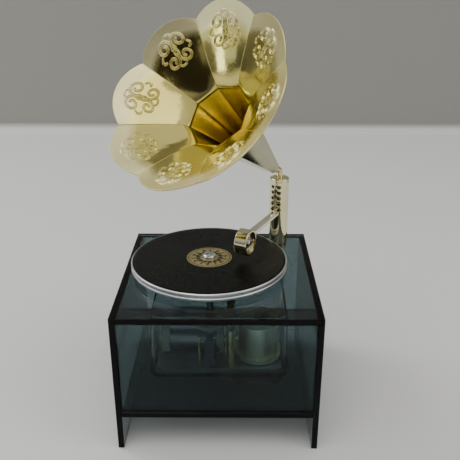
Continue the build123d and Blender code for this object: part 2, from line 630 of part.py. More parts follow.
with BuildPart() as record_label:
    rod(level(TABLE_X, TABLE_Y, PLATTER_TOP), LABEL_R, LABEL_THICK)
    rod(level(TABLE_X, TABLE_Y, PLATTER_TOP - 1), SCREW_SHANK_R + SHANK_GAP, 2, Mode.SUBTRACT)

with BuildPart() as record_screw:
    screw_base = PLATTER_TOP + LABEL_THICK
    rod(level(TABLE_X, TABLE_Y, screw_base), HEAD_R, HEAD_H)
    fillet(edges().group_by(Axis.Z)[-1], radius=HEAD_H * 0.75)
    with Locations(at(TABLE_X, TABLE_Y, screw_base + HEAD_H)):
        Box(HEAD_R * 1.0, HEAD_R * 0.2, HEAD_H * 1.2, mode=Mode.SUBTRACT)
        Box(HEAD_R * 0.2, HEAD_R * 1.0, HEAD_H * 1.2, mode=Mode.SUBTRACT)
    rod(level(TABLE_X, TABLE_Y, screw_base), SCREW_SHANK_R, -(RECORD_THICK + LABEL_THICK))

# ---- post ----------------------------------------------------------------------------
WASHER_R = 4.0
CAP_BORE = 2.4                # depth of the socket that the horn's stem turns in
ELBOW_R = 1.5

with BuildPart() as post_tube:
    rod(level(POST_X, POST_Y, CASE_TOP), POST_R, POST_TOP - CASE_TOP)
    chamfer(edges().group_by(Axis.Z)[0], 0.25)
    rod(level(POST_X, POST_Y, CASE_TOP + 3), POST_BORE, POST_TOP, Mode.SUBTRACT)
    rod(level(POST_X, POST_Y, CASE_TOP - EPS), STUD_R, 4, Mode.SUBTRACT)

with BuildPart() as post_cap:
    rod(level(POST_X, POST_Y, POST_TOP), POST_R, CAP_TOP - POST_TOP)
    fillet(edges().group_by(Axis.Z)[-1], radius=0.6)
    rod(level(POST_X, POST_Y, POST_TOP), POST_BORE, -2.0)
    rod(level(POST_X, POST_Y, CAP_TOP - CAP_BORE), ELBOW_R + RUN, CAP_BORE + 1, Mode.SUBTRACT)

with BuildPart() as post_stud:
    rod(level(POST_X, POST_Y, LID_UNDER - 4.4), STUD_R, CASE_TOP + 3 - LID_UNDER + 4.4)
    rod(level(POST_X, POST_Y, CASE_TOP + 3), POST_BORE - 0.1, 1.2)

with BuildPart() as post_washer:
    rod(level(POST_X, POST_Y, LID_UNDER - 0.8), WASHER_R, 0.75)
    rod(level(POST_X, POST_Y, LID_UNDER - 1), STUD_R, 2, Mode.SUBTRACT)

with BuildPart() as post_nut:
    with BuildSketch(level(POST_X, POST_Y, LID_UNDER - 3.2)):
        RegularPolygon(radius=3.0, side_count=6)
        Circle(STUD_R, mode=Mode.SUBTRACT)
    extrude(amount=2.4)

# ---- tone arm and sound box ----------------------------------------------------------
arm_dx = BOX_X - POST_X
arm_dy = BOX_Y - POST_Y
arm_long = math.hypot(arm_dx, arm_dy)
arm_ux = arm_dx / arm_long
arm_uy = arm_dy / arm_long
arm_start = POST_R - 0.5
arm_stop = arm_long - math.sqrt(BOX_R ** 2 - (ARM_Z - BOX_Z) ** 2) + ARM_SINK
box_dir = (-arm_uy, arm_ux, 0)
arm_plane = Plane(origin=at(POST_X + arm_ux * arm_start, POST_Y + arm_uy * arm_start, ARM_Z),
                  x_dir=(-arm_uy, arm_ux, 0), z_dir=(arm_ux, arm_uy, 0))
arm_mid = (arm_start + arm_stop) / 2
ARM_EDGE = 0.5

with BuildPart() as tone_arm:
    with Locations(arm_plane.offset(arm_mid - arm_start).location):
        Box(ARM_W, ARM_T, arm_stop - arm_start)
    fillet(edges().filter_by(Axis((0, 0, 0), (arm_ux, arm_uy, 0))), radius=ARM_EDGE)
    rod(level(POST_X, POST_Y, ARM_Z - 6), POST_R, 12, Mode.SUBTRACT)

case_plane = Plane(origin=at(BOX_X, BOX_Y, BOX_Z), x_dir=(0, 0, 1), z_dir=box_dir)

HUB_OUT = 2.2
DISC_BACK = BOX_LONG / 2 - 2.2
DISC_T = 0.8
RING_T = 0.4
BOX_SCREW_R = 1.4
BOX_SCREW_H = 0.8
box_bore = BOX_R - BOX_WALL

with BuildPart() as sound_box_case:
    rod(case_plane.offset(-BOX_LONG / 2), BOX_R, BOX_LONG)
    fillet(edges().filter_by(GeomType.CIRCLE), radius=0.4)
    rod(case_plane.offset(-BOX_LONG / 2 + 1.0), box_bore, BOX_LONG, Mode.SUBTRACT)
    with Locations(arm_plane.offset(arm_mid - arm_start).location):
        Box(ARM_W, ARM_T, arm_stop - arm_start, mode=Mode.SUBTRACT)

with BuildPart() as sound_box_diaphragm:
    rod(case_plane.offset(DISC_BACK), box_bore, DISC_T)
    rod(case_plane.offset(DISC_BACK + DISC_T), box_bore, RING_T)
    rod(case_plane.offset(DISC_BACK + DISC_T), box_bore - 0.8, RING_T + EPS, Mode.SUBTRACT)
    rod(case_plane.offset(DISC_BACK + DISC_T), HUB_OUT, RING_T)

with BuildPart() as sound_box_screw:
    screw_plane = case_plane.offset(DISC_BACK + DISC_T + RING_T)
    rod(screw_plane, BOX_SCREW_R, BOX_SCREW_H)
    fillet(edges().filter_by(GeomType.CIRCLE).sort_by(Axis(case_plane.origin, box_dir))[-1], radius=BOX_SCREW_H / 2)
    with Locations(screw_plane.offset(BOX_SCREW_H).location):
        Box(BOX_SCREW_R * 3, BOX_SCREW_R * 0.3, BOX_SCREW_H, mode=Mode.SUBTRACT)

# ---- horn ----------------------------------------------------------------------------
aim = Vector(*HORN_AIM).normalized()
side = Vector(0, 0, 1).cross(aim).normalized()
rise = aim.cross(side)
mouth = Vector(*at(HORN_X, HORN_Y, HORN_Z))


def horn_point(radius, angle, along):
    """A point at a radius and angle round the horn's axis, along it from the notch plane."""
    spin = math.radians(angle)
    return mouth + side * (radius * math.cos(spin)) + rise * (radius * math.sin(spin)) + aim * along


def flare(part_way):
    """Radius and depth of the crease line: it carries on the neck's slope and opens to the mouth."""
    depth = THROAT_A * (1 - part_way)
    straight = -THROAT_A * NECK_SLOPE
    radius = THROAT_R + straight * part_way + (RIM_R - THROAT_R - straight) * part_way ** FLARE_POWER
    return radius, depth


def petal_point(k, part_way, across_way):
    """A point on a petal: a flat chord between its creases, swelling and lengthening to the tip."""
    radius, depth = flare(part_way)
    turn = across_way * STEP / 2
    chord = radius * math.cos(math.radians(STEP / 2)) / math.cos(math.radians(turn))
    crown = 1 - across_way ** 2
    flat_loss = RIM_R * (1 - math.cos(math.radians(STEP / 2)))
    bulge = (TIP_OUT + flat_loss) * part_way ** 1.3 * crown
    forward = TIP_FORWARD * part_way ** 3 * crown
    return horn_point(chord + bulge, HORN_PHASE + STEP * k + turn, depth + forward)


def petal_face(k):
    """The curved face of one petal."""
    grid = []
    for i in range(LONG_STEPS + 1):
        row = []
        for j in range(SIDE_STEPS):
            row.append(petal_point(k, i / LONG_STEPS, PETAL_OVER * (-1 + 2 * j / (SIDE_STEPS - 1))))
        grid.append(row)
    return Face.make_surface_from_array_of_points(grid, tol=0.01)


petals = []
for k in range(PETALS):
    with BuildPart() as horn_petal:
        thicken(petal_face(k), amount=SKIN)
        seam = math.radians(STEP / 2)
        wedge_x = side * math.cos(math.radians(HORN_PHASE + STEP * k))
        wedge_x += rise * math.sin(math.radians(HORN_PHASE + STEP * k))
        with BuildSketch(Plane(origin=mouth - aim * RIM_R, x_dir=wedge_x, z_dir=aim)):
            Polygon(
                (0, 0),
                (2 * RIM_R, -2 * RIM_R * math.tan(seam)),
                (2 * RIM_R, 2 * RIM_R * math.tan(seam)),
                align=None,
            )
        extrude(amount=2 * RIM_R, mode=Mode.INTERSECT)
    horn_petal.part.label = "horn_petal_" + str(k + 1)
    petals.append(horn_petal)

NECK_END_WALL = 1.0

with BuildPart() as horn_neck:
    for grow, low_a, mode in ((0, NECK_END_A, Mode.ADD), (-SKIN, NECK_END_A + NECK_END_WALL, Mode.SUBTRACT)):
        for neck_a in (low_a, THROAT_A):
            neck_r = NECK_END_R + NECK_SLOPE * (neck_a - NECK_END_A) + grow
            with BuildSketch(Plane(origin=horn_point(0, 0, neck_a), x_dir=side, z_dir=aim)):
                RegularPolygon(radius=neck_r, side_count=PETALS, rotation=HORN_PHASE + STEP / 2)
        loft(mode=mode, ruled=True)

elbow_start = horn_point(0, 0, NECK_END_A)
elbow_bend = Vector(*at(POST_X, POST_Y, CAP_TOP + 0.4))
elbow_end = Vector(*at(POST_X, POST_Y, CAP_TOP - CAP_BORE))

with BuildPart() as horn_elbow:
    with BuildLine() as elbow_path:
        Line(elbow_end, elbow_bend)
        Spline(elbow_bend, elbow_start, tangents=(Vector(0, 0, 1), aim))
    with BuildSketch(Plane(origin=elbow_end, z_dir=(0, 0, 1))):
        Circle(ELBOW_R)
    sweep(path=elbow_path.wire())

# ---- files ---------------------------------------------------------------------------
pieces = {
    "top_panel": top_panel,
    "left_panel": left_panel,
    "right_panel": right_panel,
    "front_panel": front_panel,
    "back_panel": back_panel,
    "bottom_panel": bottom_panel,
    "movement_cover": movement_cover,
    "bedplate": bedplate,
    "movement_screws": movement_screws,
    "comb": comb,
    "comb_base": comb_base,
    "comb_screws": comb_screws,
    "cylinder_bearings": cylinder_bearings,
    "idler_bearings": idler_bearings,
    "governor_bracket": governor_bracket,
    "bridge_pillars": bridge_pillars,
    "spindle_bridge": spindle_bridge,
    "bridge_screws": bridge_screws,
    "spindle_bush": spindle_bush,
    "music_cylinder": music_cylinder,
    "cylinder_arbor": cylinder_arbor,
    "cylinder_wheel_right": cylinder_wheel_right,
    "cylinder_wheel_left": cylinder_wheel_left,
    "drive_pinion": drive_pinion,
    "idler_pinion": idler_pinion,
    "worm_wheel": worm_wheel,
    "governor_worm": governor_worm,
    "governor_fan": governor_fan,
    "spring_barrel": spring_barrel,
    "barrel_cap": barrel_cap,
    "mainspring": mainspring,
    "winding_arbor": winding_arbor,
    "winding_key": winding_key,
    "spindle": spindle,
    "crown_wheel": crown_wheel,
    "platter": platter,
    "record_disc": record_disc,
    "record_label": record_label,
    "record_screw": record_screw,
    "post_tube": post_tube,
    "post_cap": post_cap,
    "post_stud": post_stud,
    "post_washer": post_washer,
    "post_nut": post_nut,
    "tone_arm": tone_arm,
    "sound_box_case": sound_box_case,
    "sound_box_diaphragm": sound_box_diaphragm,
    "sound_box_screw": sound_box_screw,
    "horn_neck": horn_neck,
    "horn_elbow": horn_elbow,
}
for k in range(PETALS):
    pieces["horn_petal_" + str(k + 1)] = petals[k]

for name, piece in pieces.items():
    piece.part.label = name
    export_step(piece.part, "parts/" + name + ".step")
    size = piece.part.bounding_box()
    print(name, round(piece.part.volume, 3), len(piece.part.solids()), [round(c, 2) for c in (*size.min, *size.max)])
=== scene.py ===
"""Wind-up music box shaped like a horn gramophone: finishes, pressed brass, record and studio."""

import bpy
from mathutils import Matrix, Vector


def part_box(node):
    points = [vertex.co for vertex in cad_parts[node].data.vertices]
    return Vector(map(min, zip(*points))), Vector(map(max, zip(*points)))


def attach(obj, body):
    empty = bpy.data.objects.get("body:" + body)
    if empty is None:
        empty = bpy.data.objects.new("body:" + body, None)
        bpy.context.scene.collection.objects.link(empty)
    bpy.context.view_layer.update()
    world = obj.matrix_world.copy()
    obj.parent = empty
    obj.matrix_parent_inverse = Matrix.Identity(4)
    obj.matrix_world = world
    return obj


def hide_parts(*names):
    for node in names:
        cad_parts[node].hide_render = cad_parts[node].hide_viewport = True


bl_info = {
    "name": "Gramophone Music Box",
    "version": (1, 0, 0),
    "blender": (4, 5, 0),
    "location": "View3D > Sidebar > Music Box",
    "description": "Builds the finishes and fine surfaces of a wind-up gramophone music box",
    "category": "Object",
}

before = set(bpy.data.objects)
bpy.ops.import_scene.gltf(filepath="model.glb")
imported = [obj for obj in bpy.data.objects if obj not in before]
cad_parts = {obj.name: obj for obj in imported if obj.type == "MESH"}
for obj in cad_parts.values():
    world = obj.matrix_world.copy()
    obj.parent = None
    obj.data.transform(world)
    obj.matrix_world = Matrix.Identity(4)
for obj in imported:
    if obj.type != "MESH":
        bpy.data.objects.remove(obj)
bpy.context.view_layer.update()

import math

import bpy
import numpy as np
from mathutils import Vector

MM = 0.001
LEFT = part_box("left_panel")
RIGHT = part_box("right_panel")
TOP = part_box("top_panel")
CASE_X = (LEFT[0][0] + RIGHT[1][0]) / 2
CASE_Y = (LEFT[0][1] + LEFT[1][1]) / 2
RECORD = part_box("record_disc")
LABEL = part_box("record_label")
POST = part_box("post_tube")
PETALS = 8
SLACK = 1e-9             # metres, when the post's outside rings are picked out


# ---- sizes and colours that a user would change --------------------------------------
def length_prop(name, text, default):
    """A length that a user may change."""
    return bpy.props.FloatProperty(name=name, description=text, default=default, subtype="DISTANCE",
                                   unit="LENGTH", precision=5)


def colour_prop(name, text, default):
    """A colour that a user may change."""
    return bpy.props.FloatVectorProperty(name=name, description=text, default=default, size=3,
                                         subtype="COLOR", min=0, max=1)


class HornLook(bpy.types.PropertyGroup):
    """The pressed brass horn."""
    mouth: bpy.props.FloatVectorProperty(
        name="Mouth centre", description="Centre of the notch circle, from the middle of the case foot",
        default=(-7.28 * MM, -10.07 * MM, 135.69 * MM), subtype="TRANSLATION", unit="LENGTH")
    aim: bpy.props.FloatVectorProperty(
        name="Aim", description="Direction out of the mouth", default=(-0.5, -0.6, 0.62), subtype="DIRECTION")
    phase: bpy.props.FloatProperty(
        name="Phase", description="Angle of the first petal's centre line",
        default=math.radians(6.84), subtype="ANGLE", unit="ROTATION")
    skin: length_prop("Skin", "Thickness of the brass sheet", 0.6 * MM)
    rim: length_prop("Rim", "Radius of the notches between the petals", 35.94 * MM)
    throat: length_prop("Throat", "Radius where the petals meet the neck", 13.5 * MM)
    neck_slope: bpy.props.FloatProperty(
        name="Neck slope", description="Growth of the neck's radius along its length",
        default=10.8 / 46.5, min=0, max=1)
    opening: bpy.props.FloatProperty(
        name="Opening", description="How late the petals open after the throat", default=1.4, min=1, max=3)
    depth: length_prop("Depth", "Depth of the throat behind the notches", 15.5 * MM)
    tip_out: length_prop("Tip out", "How far a petal's tip stands outside the notches", 2.97 * MM)
    tip_forward: length_prop("Tip forward", "How far a petal's tip stands in front of the notches", 3.54 * MM)
    scroll_size: length_prop("Scroll size", "Radius of the pressed scroll medallion", 6.9 * MM)
    scroll_place: bpy.props.FloatProperty(
        name="Scroll place", description="Middle of the medallion from throat to rim",
        default=0.735, min=0.4, max=0.8)
    scroll_height: length_prop("Scroll height", "How far the scrolls stand out", 0.36 * MM)
    brass: colour_prop("Brass", "Polished horn brass", (0.66, 0.575, 0.185))
    throat_gold: colour_prop("Throat gold", "Brass where the throat begins", (0.93, 0.83, 0.36))
    # Painted shade: this dark colour darkens the inside of the neck towards the bottom of the throat.
    throat_painted_shade: colour_prop("Throat dark", "Brown tarnish deep in the throat", (0.43, 0.31, 0.07))
    # Painted highlight: this pale colour lights a band near each petal's rim, which is also made rougher as satin.
    rim_highlight: colour_prop("Rim film", "Satin film near the petals' rims", (0.90, 0.82, 0.46))
    tarnish: colour_prop("Tarnish", "Duller film on the brass", (0.56, 0.43, 0.12))


class CaseLook(bpy.types.PropertyGroup):
    """The smoked acrylic case and the movement in it."""
    smoke: colour_prop("Smoke", "Tint of the acrylic sheet", (0.208, 0.240, 0.243))
    # Painted light: the front and back sheets are tinted much lighter than the top, so the movement behind them
    # shows brighter.
    front_lit_smoke: colour_prop("Front smoke", "Tint of the front and back sheets", (0.50, 0.66, 0.70))
    edge: colour_prop("Edge", "Colour seen along the sheet's edges", (0.0006, 0.0012, 0.0018))


class TurntableLook(bpy.types.PropertyGroup):
    """Record, label and rim."""
    groove: length_prop("Groove", "Depth of a record groove", 0.045 * MM)
    grooves: bpy.props.IntProperty(
        name="Grooves", description="Grooves shown on the record", default=46, min=8, max=90)
    ink: colour_prop("Ink", "Printing on the label", (0.02, 0.018, 0.016))
    foil: colour_prop("Foil", "Gold foil of the label", (0.54, 0.45, 0.19))


class PostLook(bpy.types.PropertyGroup):
    """The brass post and its stamped marks."""
    post_wall: length_prop("Post wall", "Thickness of the tube", 1.0 * MM)
    marks: bpy.props.IntProperty(
        name="Marks", description="Pairs of stamped marks in the column", default=5, min=0, max=9)
    mark_pitch: length_prop("Mark pitch", "From one mark to the next", 2.7 * MM)
    mark_depth: length_prop("Mark depth", "How deep a mark is stamped", 0.38 * MM)
    first_mark: length_prop("First mark", "From the post's top to the first mark", 2.6 * MM)
    mark_reach: length_prop("Mark reach", "From a mark's middle to its upper or lower end", 0.95 * MM)
    mark_angle: bpy.props.FloatProperty(
        name="Mark angle", description="Where the column faces, from the right",
        default=math.radians(242), subtype="ANGLE", unit="ROTATION")
    mark_apart: bpy.props.FloatProperty(
        name="Mark apart", description="From the column's middle to each mark of a pair",
        default=0.34, subtype="ANGLE", unit="ROTATION")


class StudioLook(bpy.types.PropertyGroup):
    """Floor, light and camera."""
    floor: colour_prop("Floor", "Colour of the table", (0.94, 0.94, 0.925))
    wall: colour_prop("Wall", "Colour of the wall behind the table", (0.36, 0.35, 0.32))
    wall_distance: length_prop("Wall distance", "From the middle of the case to the wall", 0.490)
    lens: bpy.props.FloatProperty(
        name="Lens", description="Focal length on a 36 mm sensor", default=49.09, min=10, max=200)
    eye: bpy.props.FloatVectorProperty(
        name="Eye", description="Camera place, from the middle of the case foot",
        default=(6.43 * MM, -238.69 * MM, 179.67 * MM), subtype="TRANSLATION", unit="LENGTH")
    pitch: bpy.props.FloatProperty(
        name="Pitch", description="How far the camera looks down",
        default=math.radians(22.92), subtype="ANGLE", unit="ROTATION")
    yaw: bpy.props.FloatProperty(
        name="Yaw", description="How far the camera turns left",
        default=math.radians(0.42), subtype="ANGLE", unit="ROTATION")
    key: bpy.props.FloatProperty(
        name="Key light", description="Power that every lamp takes its share of", default=2.35, min=0, unit="POWER")
    sky: bpy.props.FloatProperty(
        name="Room light", description="Strength of the even room light", default=0.85, min=0, max=5)


# ---- shader helpers ------------------------------------------------------------------
def new_group(name, ins, outs):
    """An empty shader group with named sockets, and its input and output nodes."""
    group = bpy.data.node_groups.new(name, "ShaderNodeTree")
    for label, kind, default in ins:
        socket = group.interface.new_socket(name=label, in_out="INPUT", socket_type=kind)
        socket.default_value = default
    for label, kind in outs:
        group.interface.new_socket(name=label, in_out="OUTPUT", socket_type=kind)
    return group, group.nodes.new("NodeGroupInput"), group.nodes.new("NodeGroupOutput")


def add(tree, kind, links=None, **values):
    """One shader node with its plain values set and its inputs wired."""
    node = tree.nodes.new(kind)
    for key, value in values.items():
        setattr(node, key, value)
    for socket, source in (links or {}).items():
        if hasattr(source, "node"):
            tree.links.new(source, node.inputs[socket])
        else:
            node.inputs[socket].default_value = source
    return node


def mix(tree, fac, a, b):
    """Colour blend from a to b."""
    node = add(tree, "ShaderNodeMix", data_type="RGBA")
    for index, source in ((0, fac), (6, a), (7, b)):
        if hasattr(source, "node"):
            tree.links.new(source, node.inputs[index])
        else:
            node.inputs[index].default_value = source if index == 0 else (*source[:3], 1)
    return node.outputs[2]


def spread(tree, value, low, high, to_low=0.0, to_high=1.0):
    """A value stretched from one range to another and clamped."""
    node = add(tree, "ShaderNodeMapRange", {0: value, 1: low, 2: high, 3: to_low, 4: to_high})
    return node.outputs[0]


def maths(tree, operation, a, b=0.0):
    """One arithmetic step on two numbers or sockets."""
    node = add(tree, "ShaderNodeMath", {0: a, 1: b}, operation=operation)
    return node.outputs[0]


def polish_group():
    """Cloudy film, fine rubbing marks and small specks over polished metal."""
    found = bpy.data.node_groups.get("polish wear")
    if found:
        return found
    group, gin, gout = new_group(
        "polish wear",
        [("Clean", "NodeSocketColor", (0.8, 0.7, 0.4, 1)), ("Film", "NodeSocketColor", (0.5, 0.4, 0.2, 1)),
         ("Film amount", "NodeSocketFloat", 0.35), ("Film scale", "NodeSocketFloat", 60.0),
         ("Smooth", "NodeSocketFloat", 0.1), ("Rough", "NodeSocketFloat", 0.3),
         ("Scratch", "NodeSocketFloat", 0.1), ("Ripple", "NodeSocketFloat", 0.1)],
        [("Color", "NodeSocketColor"), ("Roughness", "NodeSocketFloat"), ("Normal", "NodeSocketVector")])
    place = add(group, "ShaderNodeTexCoord").outputs["Object"]
    cloud = add(group, "ShaderNodeTexNoise", {"Vector": place, "Scale": gin.outputs["Film scale"], "Detail": 6.0,
                                              "Roughness": 0.6})
    fleck_scale = maths(group, "MULTIPLY", gin.outputs["Film scale"], 14.0)
    fleck = add(group, "ShaderNodeTexNoise", {"Vector": place, "Scale": fleck_scale, "Detail": 3.0})
    film = maths(group, "MULTIPLY", spread(group, cloud.outputs["Fac"], 0.4, 0.72), gin.outputs["Film amount"])
    speck = spread(group, fleck.outputs["Fac"], 0.66, 0.74, 0.0, 0.22)
    film_all = maths(group, "ADD", film, maths(group, "MULTIPLY", speck, gin.outputs["Film amount"]))
    colour = mix(group, film_all, gin.outputs["Clean"], gin.outputs["Film"])
    stretched = add(group, "ShaderNodeMapping", {"Vector": place, "Scale": (900.0, 140.0, 700.0)})
    rub = add(group, "ShaderNodeTexNoise", {"Vector": stretched.outputs[0], "Scale": 3.0, "Detail": 4.0})
    rough_span = maths(group, "SUBTRACT", gin.outputs["Rough"], gin.outputs["Smooth"])
    rough_mix = maths(group, "ADD", maths(group, "MULTIPLY", film_all, 0.7),
                      spread(group, rub.outputs["Fac"], 0.45, 0.8, 0.0, 0.5))
    rough = maths(group, "ADD", gin.outputs["Smooth"], maths(group, "MULTIPLY", rough_span, rough_mix))
    wave = add(group, "ShaderNodeTexNoise", {"Vector": place, "Scale": 130.0, "Detail": 2.0})
    bump = add(group, "ShaderNodeBump", {"Strength": gin.outputs["Scratch"], "Distance": 0.00006,
                                         "Height": rub.outputs["Fac"]})
    bump2 = add(group, "ShaderNodeBump", {"Strength": gin.outputs["Ripple"], "Distance": 0.0006,
                                          "Height": wave.outputs["Fac"], "Normal": bump.outputs[0]})
    group.links.new(colour, gout.inputs["Color"])
    group.links.new(rough, gout.inputs["Roughness"])
    group.links.new(bump2.outputs[0], gout.inputs["Normal"])
    return group


def dust_group():
    """Fine dust that lies on faces that look up."""
    found = bpy.data.node_groups.get("settled dust")
    if found:
        return found
    group, gin, gout = new_group(
        "settled dust",
        [("Base", "NodeSocketColor", (0.1, 0.1, 0.1, 1)), ("Dust", "NodeSocketColor", (0.6, 0.6, 0.58, 1)),
         ("Amount", "NodeSocketFloat", 0.3), ("Scale", "NodeSocketFloat", 1500.0)],
        [("Color", "NodeSocketColor")])
    coord = add(group, "ShaderNodeTexCoord")
    up = add(group, "ShaderNodeSeparateXYZ", {0: coord.outputs["Normal"]}).outputs["Z"]
    place = coord.outputs["Object"]
    grain = add(group, "ShaderNodeTexNoise", {"Vector": place, "Scale": gin.outputs["Scale"], "Detail": 2.0})
    patch = add(group, "ShaderNodeTexNoise", {"Vector": place, "Scale": 45.0, "Detail": 4.0})
    dots = maths(group, "MULTIPLY", spread(group, grain.outputs["Fac"], 0.62, 0.75),
                 spread(group, patch.outputs["Fac"], 0.35, 0.7, 0.25, 1.0))
    facing_up = maths(group, "MULTIPLY", dots, spread(group, up, 0.5, 1.0))
    mask = maths(group, "MULTIPLY", facing_up, gin.outputs["Amount"])
    group.links.new(mix(group, mask, gin.outputs["Base"], gin.outputs["Dust"]), gout.inputs["Color"])
    return group


def start_material(name, metallic=0.0, ior=1.45, transmission=0.0):
    """A material with its own Principled shader, whose uniform values stand on its own sockets."""
    material = bpy.data.materials.new(name)
    material.use_nodes = True
    tree = material.node_tree
    shader = tree.nodes["Principled BSDF"]
    shader.inputs["Metallic"].default_value = metallic
    shader.inputs["IOR"].default_value = ior
    shader.inputs["Transmission Weight"].default_value = transmission
    return material, tree, shader


def lay_over(tree, mask, colour):
    """Lays a colour over what the shader's Base Color already shows, as far as the mask says."""
    base = tree.nodes["Principled BSDF"].inputs["Base Color"]
    below = base.links[0].from_socket
    tree.links.new(mix(tree, mask, below, colour), base)


def metal(name, clean, film, amount, scale, smooth, rough, scratch=0.1, ripple=0.05):
    """Polished or satin metal through the shared wear group."""
    material, tree, shader = start_material(name, metallic=1.0)
    wear = add(tree, "ShaderNodeGroup", node_tree=polish_group())
    for label, value in (("Clean", (*clean, 1)), ("Film", (*film, 1)), ("Film amount", amount),
                         ("Film scale", scale), ("Smooth", smooth), ("Rough", rough),
                         ("Scratch", scratch), ("Ripple", ripple)):
        wear.inputs[label].default_value = value
    for label, socket in (("Color", "Base Color"), ("Roughness", "Roughness"), ("Normal", "Normal")):
        tree.links.new(wear.outputs[label], shader.inputs[socket])
    return material


def plastic(name, colour, other, scale, smooth, rough, dust=0.0, grain=0.1):
    """Moulded plastic with slight mottling, a soft skin and some dust."""
    material, tree, shader = start_material(name, ior=1.49)
    place = add(tree, "ShaderNodeTexCoord").outputs["Object"]
    cloud = add(tree, "ShaderNodeTexNoise", {"Vector": place, "Scale": scale, "Detail": 5.0})
    base = mix(tree, spread(tree, cloud.outputs["Fac"], 0.35, 0.7), colour, other)
    powder = add(tree, "ShaderNodeGroup", {"Base": base, "Amount": dust}, node_tree=dust_group())
    tree.links.new(powder.outputs["Color"], shader.inputs["Base Color"])
    tree.links.new(spread(tree, cloud.outputs["Fac"], 0.3, 0.75, smooth, rough), shader.inputs["Roughness"])
    skin = add(tree, "ShaderNodeTexNoise", {"Vector": place, "Scale": scale * 22, "Detail": 2.0})
    bump = add(tree, "ShaderNodeBump", {"Strength": grain, "Distance": 0.00005, "Height": skin.outputs["Fac"]})
    tree.links.new(bump.outputs[0], shader.inputs["Normal"])
    return material


def paint(material, *nodes):
    """Puts a material in the slots of CAD nodes."""
    for node in nodes:
        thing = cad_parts[node]
        if not thing.material_slots:
            thing.data.materials.append(material)
        for place in thing.material_slots:
            place.material = material


# ---- mesh helpers --------------------------------------------------------------------
def mesh_object(name, points, faces, material):
    """An object in the scene with a mesh made from an array of points and its faces."""
    mesh = bpy.data.meshes.new(name)
    mesh.from_pydata(points.tolist(), [], faces)
    mesh.materials.append(material)
    thing = bpy.data.objects.new(name, mesh)
    bpy.context.scene.collection.objects.link(thing)
    return thing


def mesh_piece(name, points, faces, material, body, replaced, marks=None):
    """A smooth mesh object that rides on a body and stands for CAD nodes; marks are values kept on its points."""
    piece = mesh_object(name, points, faces.tolist(), material)
    mesh = piece.data
    mesh.validate()
    mesh.polygons.foreach_set("use_smooth", np.full(len(mesh.polygons), True))
    for label, values in (marks or {}).items():
        mesh.attributes.new(label, "FLOAT", "POINT").data.foreach_set("value", values.ravel().astype(np.float32))
    mesh.update()
    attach(piece, body)
    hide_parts(*replaced)


def grid_faces(rows, cols, wrap=False, flip=False, offset=0):
    """Quads of a grid of rows by columns, closed round the columns if wrapped."""
    step = cols if wrap else cols - 1
    i, j = np.meshgrid(np.arange(rows - 1), np.arange(step), indexing="ij")
    k = (j + 1) % cols
    corners = [i * cols + j, i * cols + k, (i + 1) * cols + k, (i + 1) * cols + j]
    quads = np.stack(corners, axis=-1).reshape(-1, 4)
    return (quads[:, ::-1] if flip else quads) + offset


def shell_faces(rows, cols):
    """Quads of two equal grids, front then back, and the wall that joins their four borders, all facing outwards."""
    count = rows * cols
    front = grid_faces(rows, cols, flip=True)
    back = grid_faces(rows, cols, offset=count)
    index = np.arange(count).reshape(rows, cols)
    ring = np.concatenate([index[0, :-1], index[:-1, -1], index[-1, :0:-1], index[:0:-1, 0]])
    after = np.roll(ring, -1)
    wall = np.stack([after + count, ring + count, ring, after], axis=-1)
    return np.concatenate([front, back, wall])


def loop_faces(rows, cols):
    """Quads of rings that close on themselves, the last ring joined to the first, all facing outwards."""
    return grid_faces(rows + 1, cols, wrap=True, flip=True) % (rows * cols)


def turned(profile, centre, segments):
    """Rings of points: a closed loop of radius and height, swept round a vertical axis."""
    angle = np.linspace(0, 2 * math.pi, segments, endpoint=False)
    radius = profile[:, 0][:, None]
    height = np.broadcast_to(profile[:, 1][:, None], (len(profile), segments))
    return np.stack([centre[0] + radius * np.cos(angle), centre[1] + radius * np.sin(angle), height], axis=-1)


def blend_in(low, high, value):
    """A smooth step from 0 at low to 1 at high."""
    t = np.clip((value - low) / (high - low), 0, 1)
    return t * t * (3 - 2 * t)


# ---- horn ----------------------------------------------------------------------------
def horn_frame(look):
    """Mouth centre and the unit directions across, up and out of the mouth."""
    aim = Vector(look.aim).normalized()
    side = Vector((0, 0, 1)).cross(aim).normalized()
    rise = aim.cross(side)
    mouth = np.array(look.mouth) + np.array((CASE_X, CASE_Y, 0))
    return mouth, np.array(side), np.array(rise), np.array(aim)


def scroll_lines():
    """Centre lines of the pressed medallion in a unit circle: paired volutes above and below, side bows and a stem.

    A volute runs round its own centre while its radius shrinks as a power of the way along it.  A bow is a straight
    run pushed sideways by a parabola.  Each line comes with half the width of its ridge.
    """
    lines = []

    def volute(cx, cy, start, turns, outer, inner, width):
        """One curl, from its outer end to its eye."""
        t = np.linspace(0, 1, 90)
        angle = start + 2 * math.pi * turns * t
        radius = outer + (inner - outer) * t ** 0.85
        lines.append((np.stack([cx + radius * np.cos(angle), cy + radius * np.sin(angle)], axis=-1), width))

    def bow(a, b, lift, width):
        """One shallow arc from a to b."""
        t = np.linspace(0, 1, 50)[:, None]
        a, b = np.array(a), np.array(b)
        across = np.array([-(b - a)[1], (b - a)[0]])
        lines.append((a + (b - a) * t + across * lift * 4 * t * (1 - t), width))

    for s, start in ((1, 0), (-1, math.pi)):
        volute(s * 0.49, 0.46, start + s * 3.85, -s * 1.26, 0.49, 0.15, 0.082)
        volute(s * 0.45, -0.47, start + s * 2.45, s * 1.24, 0.44, 0.13, 0.078)
        bow((-s * 0.02, 0.16), (s * 0.10, -0.24), s * 0.12, 0.07)
        bow((s * 0.90, 0.20), (s * 0.84, -0.16), s * 0.35, 0.06)
        bow((0.0, 1.0), (s * 0.24, 0.80), s * 0.25, 0.055)
        bow((0.0, -0.98), (s * 0.22, -0.82), -s * 0.25, 0.055)
    return lines


